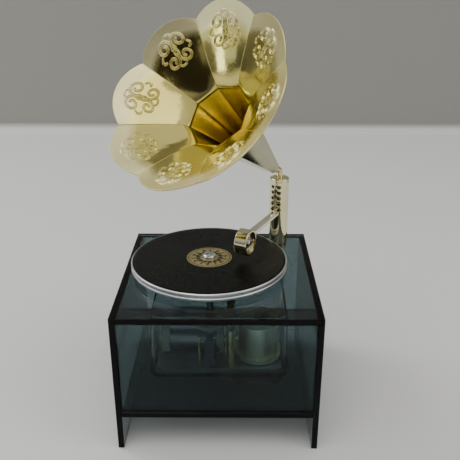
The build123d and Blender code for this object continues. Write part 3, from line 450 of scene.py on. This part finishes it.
def scroll_relief(x, y, look):
    """Height of the pressed scrolls at each point: a rounded ridge with a fine groove along its crest."""
    flat = np.stack([x.ravel(), y.ravel()], axis=-1) / look.scroll_size
    height = np.zeros(len(flat))
    near = np.hypot(flat[:, 0], flat[:, 1]) < 1.15
    spot = flat[near]
    best = np.zeros(len(spot))
    for line, width in scroll_lines():
        gap = np.sqrt(((spot[:, None, :] - line[None, :, :]) ** 2).sum(axis=-1)).min(axis=1)
        ridge = blend_in(width, width * 0.6, gap) - 0.9 * blend_in(width * 0.58, width * 0.16, gap)
        best = np.maximum(best, ridge)
    height[near] = best
    cushion = blend_in(1.12, 0.8, np.hypot(flat[:, 0], flat[:, 1])) * 0.05
    return ((height + cushion) * look.scroll_height).reshape(x.shape)


def packed(low, high, mid, half, inside, outside):
    """Parameters from low to high, with most of them close to the medallion."""
    before = np.linspace(low, mid - half, outside, endpoint=False)
    core = np.linspace(mid - half, mid + half, inside, endpoint=False)
    after = np.linspace(mid + half, high, outside)
    return np.concatenate([before, core, after])


def petal_points(look, k):
    """Front and back grids of one petal, u from throat to rim and v from crease to crease.

    Along a crease the depth falls evenly to nothing while the radius grows by the neck's own slope, plus the
    rest of the way to the rim as a power of u.  Between two creases the petal is a flat chord plus a swelling of
    one minus v squared that grows to the tip, and the tip also leans forward.  The back lies on that surface and
    the front a sheet's thickness along its normal, which turns into the plane of the seam at a crease.  The
    scrolls are added along the normal, on both faces, as a press leaves them.
    """
    mouth, side, rise, aim = horn_frame(look)
    step = 2 * math.pi / PETALS
    u = packed(0.0, 1.0, look.scroll_place + 0.005, 0.235, 128, 16)
    v = packed(-1.0, 1.0, 0.0, 0.58, 128, 18)
    u, v = np.meshgrid(u, v, indexing="ij")
    depth = -look.depth * (1 - u)
    straight = look.depth * look.neck_slope
    radius = look.throat + straight * u + (look.rim - look.throat - straight) * u ** look.opening
    turn = v * step / 2
    crown = 1 - v ** 2
    loss = look.rim * (1 - math.cos(step / 2))
    out = radius * math.cos(step / 2) / np.cos(turn) + (look.tip_out + loss) * u ** 1.3 * crown
    along = depth + look.tip_forward * u ** 3 * crown
    spin = look.phase + step * k + turn

    back = (mouth + (out * np.cos(spin))[..., None] * side + (out * np.sin(spin))[..., None] * rise
            + along[..., None] * aim)
    du = np.gradient(back, axis=0)
    dv = np.gradient(back, axis=1)
    normal = np.cross(dv, du)
    normal /= np.linalg.norm(normal, axis=-1, keepdims=True) + 1e-12
    mid = u.shape[1] // 2
    if (normal[len(u) // 2, mid] @ aim) < 0:
        normal = -normal
    seam = np.sin(spin)[..., None] * side - np.cos(spin)[..., None] * rise
    mitre = normal - (normal * seam).sum(axis=-1, keepdims=True) * seam
    mitre /= (mitre * mitre).sum(axis=-1, keepdims=True)
    near_seam = blend_in(0.90, 1.0, np.abs(v))[..., None]
    front = back + look.skin * (normal * (1 - near_seam) + mitre * near_seam)
    walk = np.concatenate([[0], np.cumsum(np.linalg.norm(np.diff(front[:, mid], axis=0), axis=1))])
    heart = np.interp(look.scroll_place, u[:, mid], walk)
    height = scroll_relief(out * turn, np.broadcast_to((walk - heart)[:, None], u.shape), look)
    press = normal * height[..., None]
    return front + press, back + press, u


class MUSICBOX_OT_horn(bpy.types.Operator):
    """Press the eight petals with their scrolls, and finish the neck and stem"""
    bl_idname = "musicbox.horn"
    bl_label = "Horn"

    def neck_material(self, look):
        """Pale polish outside; inside the yellow brass of the petals, darker towards the bottom as painted shade."""
        mouth, side, rise, aim = horn_frame(look)
        pale = metal("neck brass", (0.52, 0.49, 0.33), (0.34, 0.30, 0.18), 0.4, 60.0, 0.10, 0.30, 0.15, 0.06)
        tree = pale.node_tree
        coord = add(tree, "ShaderNodeTexCoord")

        def vector(operation, links, output):
            """One arithmetic step on directions."""
            return add(tree, "ShaderNodeVectorMath", links, operation=operation).outputs[output]

        offset = vector("SUBTRACT", {0: coord.outputs["Object"], 1: tuple(mouth)}, 0)
        depth = vector("DOT_PRODUCT", {0: offset, 1: tuple(aim)}, "Value")
        core = vector("SCALE", {0: tuple(aim), "Scale": depth}, 0)
        radial = vector("SUBTRACT", {0: offset, 1: core}, 0)
        facing = vector("DOT_PRODUCT", {0: radial, 1: coord.outputs["Normal"]}, "Value")
        inside = spread(tree, facing, 0.0, -0.5 * MM)
        # Painted shade: deeper down the throat, the inside turns to the dark throat colour.
        dark = spread(tree, depth, -22 * MM, -46 * MM)
        lay_over(tree, inside, mix(tree, dark, tuple(look.throat_gold), tuple(look.throat_painted_shade)))
        return pale

    def execute(self, context):
        look = context.scene.horn_look
        brass = metal("horn brass", look.brass, look.tarnish, 0.38, 55.0, 0.07, 0.30, 0.12, 0.22)
        tree = brass.node_tree
        shader = tree.nodes["Principled BSDF"]
        rim = add(tree, "ShaderNodeAttribute", attribute_name="toward_rim").outputs["Fac"]
        place = add(tree, "ShaderNodeTexCoord").outputs["Object"]
        stain = add(tree, "ShaderNodeTexNoise", {"Vector": place, "Scale": 90.0, "Detail": 4.0}).outputs["Fac"]
        # Painted highlight: a paler band along each petal's rim, which is also rougher as a satin film.
        band = spread(tree, maths(tree, "ADD", rim, maths(tree, "MULTIPLY", stain, 0.08)), 0.80, 0.92, 0.0, 0.85)
        sheen = shader.inputs["Roughness"].links[0].from_socket
        lay_over(tree, band, tuple(look.rim_highlight))
        tree.links.new(maths(tree, "ADD", sheen, maths(tree, "MULTIPLY", band, 0.34)), shader.inputs["Roughness"])
        for k in range(PETALS):
            front, back, toward_rim = petal_points(look, k)
            rows, cols = front.shape[:2]
            points = np.concatenate([front.reshape(-1, 3), back.reshape(-1, 3)])
            mesh_piece("petal_%d" % (k + 1), points, shell_faces(rows, cols), brass, "horn",
                       ("horn_petal_%d" % (k + 1),), {"toward_rim": np.concatenate([toward_rim, toward_rim])})
        paint(self.neck_material(look), "horn_neck")
        paint(metal("stem brass", (0.80, 0.72, 0.48), (0.48, 0.38, 0.20), 0.35, 90.0, 0.14, 0.36), "horn_elbow")
        return {"FINISHED"}


# ---- case ----------------------------------------------------------------------------
def acrylic(name, tint, edge, axis):
    """Smoked sheet: clear tint through its faces, nearly black where its cut edges are seen."""
    material, tree, shader = start_material(name, ior=1.22, transmission=1.0)
    coord = add(tree, "ShaderNodeTexCoord")
    facing = add(tree, "ShaderNodeSeparateXYZ", {0: coord.outputs["Normal"]}).outputs[axis]
    flat = spread(tree, maths(tree, "ABSOLUTE", facing), 0.55, 0.85)
    cloud = add(tree, "ShaderNodeTexNoise", {"Vector": coord.outputs["Object"], "Scale": 30.0, "Detail": 4.0})
    cooler = tuple(c * 0.93 for c in tint)
    body = mix(tree, cloud.outputs["Fac"], tint, cooler)
    powder = add(tree, "ShaderNodeGroup", {"Base": mix(tree, flat, edge, body), "Amount": 0.25, "Scale": 1800.0},
                 node_tree=dust_group())
    tree.links.new(powder.outputs["Color"], shader.inputs["Base Color"])
    smear = add(tree, "ShaderNodeTexNoise", {"Vector": coord.outputs["Object"], "Scale": 75.0, "Detail": 6.0})
    tree.links.new(spread(tree, smear.outputs["Fac"], 0.4, 0.8, 0.015, 0.09), shader.inputs["Roughness"])
    return material


class MUSICBOX_OT_case(bpy.types.Operator):
    """Finish the smoked acrylic panels"""
    bl_idname = "musicbox.case"
    bl_label = "Case"

    def execute(self, context):
        look = context.scene.case_look
        tint, edge = tuple(look.smoke), tuple(look.edge)
        flat = acrylic("smoked top", tint, edge, "Z")
        # Painted shade: the side sheets are tinted darker than the top.
        shaded_sides = acrylic("smoked sides", tuple(c * 0.86 for c in tint), edge, "X")
        # Painted light: the front and back sheets take the much lighter front tint.
        lit_fronts = acrylic("smoked front", tuple(look.front_lit_smoke), edge, "Y")
        paint(flat, "top_panel", "bottom_panel")
        paint(shaded_sides, "left_panel", "right_panel")
        paint(lit_fronts, "front_panel", "back_panel")
        return {"FINISHED"}


class MUSICBOX_OT_movement(bpy.types.Operator):
    """Finish the clockwork inside the case and its key"""
    bl_idname = "musicbox.movement"
    bl_label = "Movement"

    def execute(self, context):
        cover, tree, shader = start_material("clear cover", ior=1.3, transmission=1.0)
        coord = add(tree, "ShaderNodeTexCoord")
        haze = add(tree, "ShaderNodeTexNoise", {"Vector": coord.outputs["Object"], "Scale": 40.0, "Detail": 4.0})
        clear = mix(tree, haze.outputs["Fac"], (0.95, 0.97, 0.97), (0.90, 0.93, 0.94))
        tree.links.new(clear, shader.inputs["Base Color"])
        tree.links.new(spread(tree, haze.outputs["Fac"], 0.35, 0.75, 0.04, 0.16), shader.inputs["Roughness"])
        paint(cover, "movement_cover")
        cast = metal("bed casting", (0.50, 0.50, 0.50), (0.32, 0.31, 0.30), 0.6, 120.0, 0.32, 0.55, 0.2, 0.15)
        steel = metal("turned steel", (0.70, 0.70, 0.71), (0.45, 0.43, 0.40), 0.4, 150.0, 0.16, 0.4, 0.3, 0.03)
        comb = metal("comb steel", (0.74, 0.75, 0.77), (0.5, 0.5, 0.5), 0.3, 90.0, 0.2, 0.42, 0.5, 0.02)
        yellow = metal("cut brass", (0.78, 0.62, 0.32), (0.48, 0.36, 0.18), 0.5, 110.0, 0.18, 0.42, 0.25, 0.04)
        drum = metal("cylinder skin", (0.44, 0.38, 0.40), (0.30, 0.24, 0.26), 0.6, 100.0, 0.28, 0.5, 0.4, 0.05)
        olive = metal("barrel brass", (0.96, 0.93, 0.70), (0.76, 0.70, 0.46), 0.35, 70.0, 0.36, 0.55, 0.3, 0.05)
        blued = metal("spring steel", (0.30, 0.32, 0.38), (0.2, 0.2, 0.22), 0.4, 100.0, 0.2, 0.4, 0.2, 0.02)
        cream = plastic("cream nylon", (0.90, 0.86, 0.70), (0.80, 0.75, 0.58), 180.0, 0.35, 0.5)
        dark = plastic("fan plastic", (0.045, 0.045, 0.05), (0.03, 0.03, 0.034), 200.0, 0.3, 0.48)
        smoked = metal("blackened bracket", (0.12, 0.12, 0.13), (0.07, 0.07, 0.07), 0.5, 120.0, 0.3, 0.5, 0.2, 0.05)
        key = metal("key plate", (0.78, 0.66, 0.40), (0.50, 0.40, 0.22), 0.45, 80.0, 0.12, 0.36, 0.2, 0.06)
        paint(cast, "bedplate", "comb_base")
        paint(comb, "comb")
        paint(steel, "movement_screws", "comb_screws", "bridge_screws", "cylinder_arbor", "governor_worm",
              "winding_arbor", "spindle", "post_stud", "post_washer", "post_nut")
        paint(yellow, "cylinder_bearings", "idler_bearings", "bridge_pillars", "spindle_bridge", "spindle_bush",
              "drive_pinion")
        paint(drum, "music_cylinder")
        paint(olive, "spring_barrel", "barrel_cap")
        paint(blued, "mainspring")
        paint(cream, "cylinder_wheel_right", "cylinder_wheel_left", "crown_wheel", "idler_pinion", "worm_wheel")
        paint(dark, "governor_fan")
        paint(smoked, "governor_bracket")
        paint(key, "winding_key")
        return {"FINISHED"}


# ---- turntable -----------------------------------------------------------------------
def record_profile(look, outer, top, bottom, hole):
    """Radius and height round the record: level face, fine grooves between the label and the edge, bevelled rim.

    A groove is one wave of a cosine.  The grooves fade to a quarter of their depth at the gaps between tunes,
    where the sine over the number of tunes is near nothing.
    """
    edge = 0.25 * MM
    first, last = 11.2 * MM, outer - 1.6 * MM
    tunes = 3
    fine = np.linspace(first, last, look.grooves * 4 + 1)
    way = (fine - first) / (last - first)
    wave = 0.5 - 0.5 * np.cos(way * 2 * math.pi * look.grooves)
    bands = blend_in(0.0, 0.12, np.abs(np.sin(way * math.pi * tunes)))
    face = np.stack([fine, top - look.groove * wave * (0.25 + 0.75 * bands)], axis=-1)
    start = np.array([[hole, bottom], [hole, top]])
    rim = np.array([[outer - edge, top], [outer, top - edge], [outer, bottom]])
    return np.concatenate([start, face, rim])


def note_shapes(centre, height, thick):
    """Small music notes standing round the label: an oval head, a stem and a flag, as flat prisms.

    A prism is its outline at two heights, a face over each and a wall between them.  Outlines are in units of
    note_size, moved out to the ring and turned about the label's centre; every other note has a flag.
    """
    notes, note_size = 14, 1.42
    to_ring = np.array([-0.5, 4.9])
    t = np.linspace(0, 2 * math.pi, 20, endpoint=False)
    head = np.stack([0.72 * np.cos(t), 0.54 * np.sin(t)], axis=-1)
    lean = math.radians(25)
    head = head @ np.array([[math.cos(lean), math.sin(lean)], [-math.sin(lean), math.cos(lean)]])
    stem = np.array([[0.30, 0.1], [0.70, 0.1], [0.70, 2.0], [0.30, 2.0]])
    flag = np.array([[0.60, 1.95], [0.60, 1.35], [1.25, 0.95], [1.32, 1.45]])
    points, faces = [], []
    base = 0
    for n in range(notes):
        spin = 2 * math.pi * n / notes
        turn = np.array([[math.cos(spin), math.sin(spin)], [-math.sin(spin), math.cos(spin)]])
        for outline in ((head, stem, flag) if n % 2 else (head, stem)):
            ring = (outline * note_size + to_ring) @ turn * MM
            size = len(ring)
            low = np.column_stack([ring + centre, np.full(size, height)])
            high = np.column_stack([ring + centre, np.full(size, height + thick)])
            points += [low, high]
            order = np.arange(size)
            after = (order + 1) % size
            faces += [[*(base + order[::-1])], [*(base + size + order)]]
            wall = np.stack([order, after, size + after, size + order], axis=-1)
            faces += (base + wall).tolist()
            base += 2 * size
    return np.concatenate(points), faces


class MUSICBOX_OT_turntable(bpy.types.Operator):
    """Cut the record grooves, print the label and finish the rim"""
    bl_idname = "musicbox.turntable"
    bl_label = "Turntable"

    def execute(self, context):
        look = context.scene.turntable_look
        centre = np.array([(RECORD[0][0] + RECORD[1][0]) / 2, (RECORD[0][1] + RECORD[1][1]) / 2])
        outer = (RECORD[1][0] - RECORD[0][0]) / 2
        vinyl, tree, shader = start_material("record black", ior=1.26)
        coord = add(tree, "ShaderNodeTexCoord")
        shade = add(tree, "ShaderNodeTexNoise", {"Vector": coord.outputs["Object"], "Scale": 70.0, "Detail": 5.0})
        base = mix(tree, shade.outputs["Fac"], (0.0025, 0.0030, 0.0026), (0.0050, 0.0056, 0.0046))
        powder = add(tree, "ShaderNodeGroup", {"Base": base, "Amount": 0.12, "Scale": 1400.0},
                     node_tree=dust_group())
        tree.links.new(powder.outputs["Color"], shader.inputs["Base Color"])
        tree.links.new(spread(tree, shade.outputs["Fac"], 0.35, 0.75, 0.22, 0.34), shader.inputs["Roughness"])
        profile = record_profile(look, outer, RECORD[1][2], RECORD[0][2], 0.85 * MM)
        rings = turned(profile, centre, 240)
        mesh_piece("record_face", rings.reshape(-1, 3), loop_faces(*rings.shape[:2]), vinyl,
                   "turntable", ("record_disc",))
        foil, tree, shader = start_material("label foil", metallic=0.55)
        coord = add(tree, "ShaderNodeTexCoord")
        shifted = add(tree, "ShaderNodeMapping",
                      {"Vector": coord.outputs["Object"], "Location": (-centre[0], -centre[1], 0.0)})
        axes = add(tree, "ShaderNodeSeparateXYZ", {0: shifted.outputs[0]})
        reach = maths(tree, "SQRT", maths(tree, "ADD", maths(tree, "POWER", axes.outputs["X"], 2.0),
                                          maths(tree, "POWER", axes.outputs["Y"], 2.0)))

        def printed_ring(radius, half):
            """A thin ring about the label's centre."""
            gap = maths(tree, "ABSOLUTE", maths(tree, "SUBTRACT", reach, radius))
            return maths(tree, "LESS_THAN", gap, half)

        print_mask = maths(tree, "MAXIMUM", printed_ring(8.75 * MM, 0.16 * MM), printed_ring(4.0 * MM, 0.12 * MM))
        grime = add(tree, "ShaderNodeTexNoise", {"Vector": coord.outputs["Object"], "Scale": 160.0, "Detail": 5.0})
        worn = tuple(c * 0.72 for c in look.foil)
        gold = mix(tree, spread(tree, grime.outputs["Fac"], 0.4, 0.75), tuple(look.foil), worn)
        tree.links.new(mix(tree, print_mask, gold, tuple(look.ink)), shader.inputs["Base Color"])
        tree.links.new(spread(tree, grime.outputs["Fac"], 0.35, 0.75, 0.3, 0.5), shader.inputs["Roughness"])
        paint(foil, "record_label")
        points, faces = note_shapes(centre, LABEL[1][2], 0.03 * MM)
        ink = plastic("label ink", tuple(look.ink), tuple(c * 1.4 for c in look.ink), 300.0, 0.4, 0.55)
        notes = mesh_object("label_notes", points, faces, ink)
        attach(notes, "turntable")
        chrome = metal("rim chrome", (0.88, 0.89, 0.90), (0.60, 0.61, 0.62), 0.35, 160.0, 0.34, 0.62, 0.3, 0.05)
        screw = metal("label screw", (0.80, 0.80, 0.80), (0.5, 0.5, 0.5), 0.3, 150.0, 0.14, 0.34, 0.2, 0.03)
        paint(chrome, "platter")
        paint(screw, "record_screw")
        return {"FINISHED"}


def post_points(look, centre, outer, low, high):
    """The post as rows of rings in one closed loop: up the bore, over the top and down the stamped outside.

    The outside radius is constant, less two smooth oval dents side by side for each pair of marks: a dent fades
    with the distance from its middle, measured round and along the post in units of its own half width and reach.
    How deep each point lies, from 0 to 1, comes back with the points.
    """
    bore = outer - look.post_wall
    lip = 0.25 * MM
    z = np.linspace(high - lip, low, 180)
    rings = np.concatenate([[[bore, low], [bore, high], [outer - lip, high]],
                            np.stack([np.full(len(z), outer), z], axis=-1)])
    angle = np.linspace(0, 2 * math.pi, 192, endpoint=False)
    radius = np.repeat(rings[:, :1], len(angle), axis=1)
    height = np.repeat(rings[:, 1:], len(angle), axis=1)
    dents = np.zeros_like(radius)
    for n in range(look.marks):
        along = (height - (high - look.first_mark - n * look.mark_pitch)) / look.mark_reach
        for shift, half_width in ((-look.mark_apart, 0.24), (look.mark_apart, 0.30)):
            across = (angle[None, :] - look.mark_angle - shift) / half_width
            dents = np.maximum(dents, blend_in(1.0, 0.35, np.hypot(across, along)))
    dents = np.where(rings[:, :1] >= outer - SLACK, dents, 0.0)
    radius = radius - dents * look.mark_depth
    points = np.stack([centre[0] + radius * np.cos(angle), centre[1] + radius * np.sin(angle), height], axis=-1)
    return points, dents


class MUSICBOX_OT_post(bpy.types.Operator):
    """Finish the post, the tone arm and the sound box"""
    bl_idname = "musicbox.post"
    bl_label = "Post and arm"

    def execute(self, context):
        polish = ((0.84, 0.79, 0.50), (0.50, 0.42, 0.24), 0.35, 80.0, 0.07, 0.26, 0.15, 0.12)
        cap = metal("post brass", *polish)
        look = context.scene.post_look
        centre = ((POST[0][0] + POST[1][0]) / 2, (POST[0][1] + POST[1][1]) / 2)
        rings, dents = post_points(look, centre, (POST[1][0] - POST[0][0]) / 2, POST[0][2], POST[1][2])
        skin = metal("stamped post brass", *polish)
        tree = skin.node_tree
        # Painted shade: the stamped dents are darkened to near black as far as they are deep.
        painted_dent_shade = add(tree, "ShaderNodeAttribute", attribute_name="dent").outputs["Fac"]
        lay_over(tree, spread(tree, painted_dent_shade, 0.15, 0.8), (0.07, 0.06, 0.03))
        mesh_piece("post_skin", rings.reshape(-1, 3), loop_faces(*rings.shape[:2]), skin,
                   "post", ("post_tube",), {"dent": dents})
        arm = metal("arm brass", (0.95, 0.92, 0.77), (0.70, 0.65, 0.48), 0.2, 90.0, 0.10, 0.28, 0.2, 0.05)
        box = metal("sound box brass", (0.82, 0.76, 0.50), (0.46, 0.38, 0.18), 0.35, 110.0, 0.06, 0.22, 0.12, 0.06)
        face = metal("spun brass", (0.62, 0.57, 0.42), (0.38, 0.33, 0.22), 0.4, 130.0, 0.16, 0.36, 0.3, 0.04)
        hub = metal("bright hub", (0.86, 0.86, 0.82), (0.55, 0.54, 0.48), 0.25, 150.0, 0.07, 0.22, 0.1, 0.04)
        for finish, node in ((cap, "post_cap"), (arm, "tone_arm"), (box, "sound_box_case"),
                             (face, "sound_box_diaphragm"), (hub, "sound_box_screw")):
            paint(finish, node)
        return {"FINISHED"}


# ---- studio --------------------------------------------------------------------------
class MUSICBOX_OT_stage(bpy.types.Operator):
    """Lay the pale table, hang the soft lights and set the camera"""
    bl_idname = "musicbox.stage"
    bl_label = "Stage"

    def table(self, look):
        """A level sheet that turns up into the wall: two long edges joined by flat strips."""
        wall = look.wall_distance
        run = np.array([[-1.1, 0.0], [wall - 0.02, 0.0], [wall - 0.006, 0.002], [wall, 0.008], [wall, 1.4]])
        x, step = np.meshgrid(CASE_X + np.array([-1.6, 1.6]), np.arange(len(run)), indexing="ij")
        points = np.stack([x, CASE_Y + run[step, 0], run[step, 1]], axis=-1).reshape(-1, 3)
        material, tree, shader = start_material("pale table")
        coord = add(tree, "ShaderNodeTexCoord")
        grain = add(tree, "ShaderNodeTexNoise", {"Vector": coord.outputs["Object"], "Scale": 25.0, "Detail": 5.0})
        floor = tuple(look.floor)
        height = add(tree, "ShaderNodeSeparateXYZ", {0: coord.outputs["Object"]}).outputs["Z"]
        plain = mix(tree, grain.outputs["Fac"], floor, tuple(c * 0.97 for c in floor))
        colour = mix(tree, spread(tree, height, 0.001, 0.007), plain, tuple(look.wall))
        tree.links.new(colour, shader.inputs["Base Color"])
        tree.links.new(spread(tree, grain.outputs["Fac"], 0.3, 0.7, 0.45, 0.55), shader.inputs["Roughness"])
        mesh_object("table", points, grid_faces(2, len(run)).tolist(), material)

    def lamps(self, look):
        """Soft square lamps round the case, each aimed at its middle: place, size, share of the power, colour."""
        for name, spot, width, share, colour in (
                ("ceiling", (-0.22, -0.44, 1.05), 0.66, 0.74, (1.0, 0.97, 0.90)),
                ("back", (-0.72, 0.36, 0.78), 0.50, 1.45, (0.97, 0.985, 1.0)),
                ("window", (-1.0, -0.30, 0.34), 0.46, 0.22, (0.86, 0.94, 1.0)),
                ("pane", (-1.0, -0.44, 0.15), 0.16, 0.12, (0.86, 0.94, 1.0)),
                ("fill", (0.75, -0.30, 0.55), 0.5, 0.40, (1.0, 0.98, 0.95))):
            data = bpy.data.lights.new(name, "AREA")
            data.size = width
            data.energy = look.key * share
            data.color = colour
            lamp = bpy.data.objects.new(name, data)
            lamp.location = (CASE_X + spot[0], CASE_Y + spot[1], spot[2])
            aim = Vector((CASE_X, CASE_Y, 0.08)) - lamp.location
            lamp.rotation_euler = aim.to_track_quat("-Z", "Y").to_euler()
            bpy.context.scene.collection.objects.link(lamp)

    def dark_card(self):
        """A dark card beside the camera, seen only as a dark patch in the polished brass."""
        middle = Vector((CASE_X - 0.33, CASE_Y - 0.53, 0.35))
        away = (middle - Vector((CASE_X - 0.02, CASE_Y - 0.03, 0.15))).normalized()
        wide = Vector((0, 0, 1)).cross(away).normalized()
        tall = away.cross(wide)
        corners = np.array([middle + wide * a * 0.17 + tall * b * 0.19
                            for a, b in ((-1, -1), (1, -1), (1, 1), (-1, 1))])
        felt = plastic("dark card", (0.012, 0.014, 0.018), (0.03, 0.012, 0.012), 9.0, 0.8, 0.95)
        card = mesh_object("dark_card", corners, [[3, 2, 1, 0]], felt)
        card.visible_camera = False
        card.visible_shadow = False
        card.visible_diffuse = False

    def air(self, look):
        """Even room light, darker near the floor than overhead."""
        world = bpy.data.worlds.new("studio air")
        bpy.context.scene.world = world
        world.use_nodes = True
        tree = world.node_tree
        back = tree.nodes["Background"]
        coord = add(tree, "ShaderNodeTexCoord")
        up = add(tree, "ShaderNodeSeparateXYZ", {0: coord.outputs["Generated"]}).outputs["Z"]
        tone = mix(tree, spread(tree, up, 0.0, 0.85), (0.14, 0.145, 0.155), (1.0, 1.0, 0.98))
        tree.links.new(tone, back.inputs["Color"])
        back.inputs["Strength"].default_value = look.sky

    def camera(self, look):
        """The camera in front of the case, looking down on it."""
        data = bpy.data.cameras.new("camera")
        data.sensor_width = 36.0
        data.lens = look.lens
        data.clip_start = 0.005
        data.clip_end = 20.0
        camera = bpy.data.objects.new("camera", data)
        camera.location = Vector(look.eye) + Vector((CASE_X, CASE_Y, 0))
        camera.rotation_euler = (math.pi / 2 - look.pitch, 0.0, look.yaw)
        bpy.context.scene.collection.objects.link(camera)
        bpy.context.scene.camera = camera

    def execute(self, context):
        look = context.scene.studio_look
        self.table(look)
        self.lamps(look)
        self.dark_card()
        self.air(look)
        self.camera(look)
        return {"FINISHED"}


class MUSICBOX_PT_panel(bpy.types.Panel):
    """Lists the steps that build the music box"""
    bl_idname = "MUSICBOX_PT_panel"
    bl_label = "Music Box"
    bl_space_type = "VIEW_3D"
    bl_region_type = "UI"
    bl_category = "Music Box"

    def draw(self, context):
        for step in STEPS:
            self.layout.operator(step.bl_idname)
        for name, group in LOOKS:
            look = getattr(context.scene, name)
            for key in group.__annotations__:
                self.layout.prop(look, key)


LOOKS = (("horn_look", HornLook), ("case_look", CaseLook), ("turntable_look", TurntableLook),
         ("post_look", PostLook), ("studio_look", StudioLook))
STEPS = (MUSICBOX_OT_case, MUSICBOX_OT_movement, MUSICBOX_OT_turntable, MUSICBOX_OT_post, MUSICBOX_OT_horn,
         MUSICBOX_OT_stage)


def register():
    """Makes the settings, steps and panel known."""
    for name, group in LOOKS:
        bpy.utils.register_class(group)
        setattr(bpy.types.Scene, name, bpy.props.PointerProperty(type=group))
    for step in STEPS:
        bpy.utils.register_class(step)
    bpy.utils.register_class(MUSICBOX_PT_panel)


def unregister():
    """Takes them away again, last first."""
    bpy.utils.unregister_class(MUSICBOX_PT_panel)
    for step in reversed(STEPS):
        bpy.utils.unregister_class(step)
    for name, group in reversed(LOOKS):
        delattr(bpy.types.Scene, name)
        bpy.utils.unregister_class(group)


def main():
    """Runs every step in order."""
    register()
    bpy.ops.musicbox.case()
    bpy.ops.musicbox.movement()
    bpy.ops.musicbox.turntable()
    bpy.ops.musicbox.post()
    bpy.ops.musicbox.horn()
    bpy.ops.musicbox.stage()


if __name__ == "__main__":
    main()
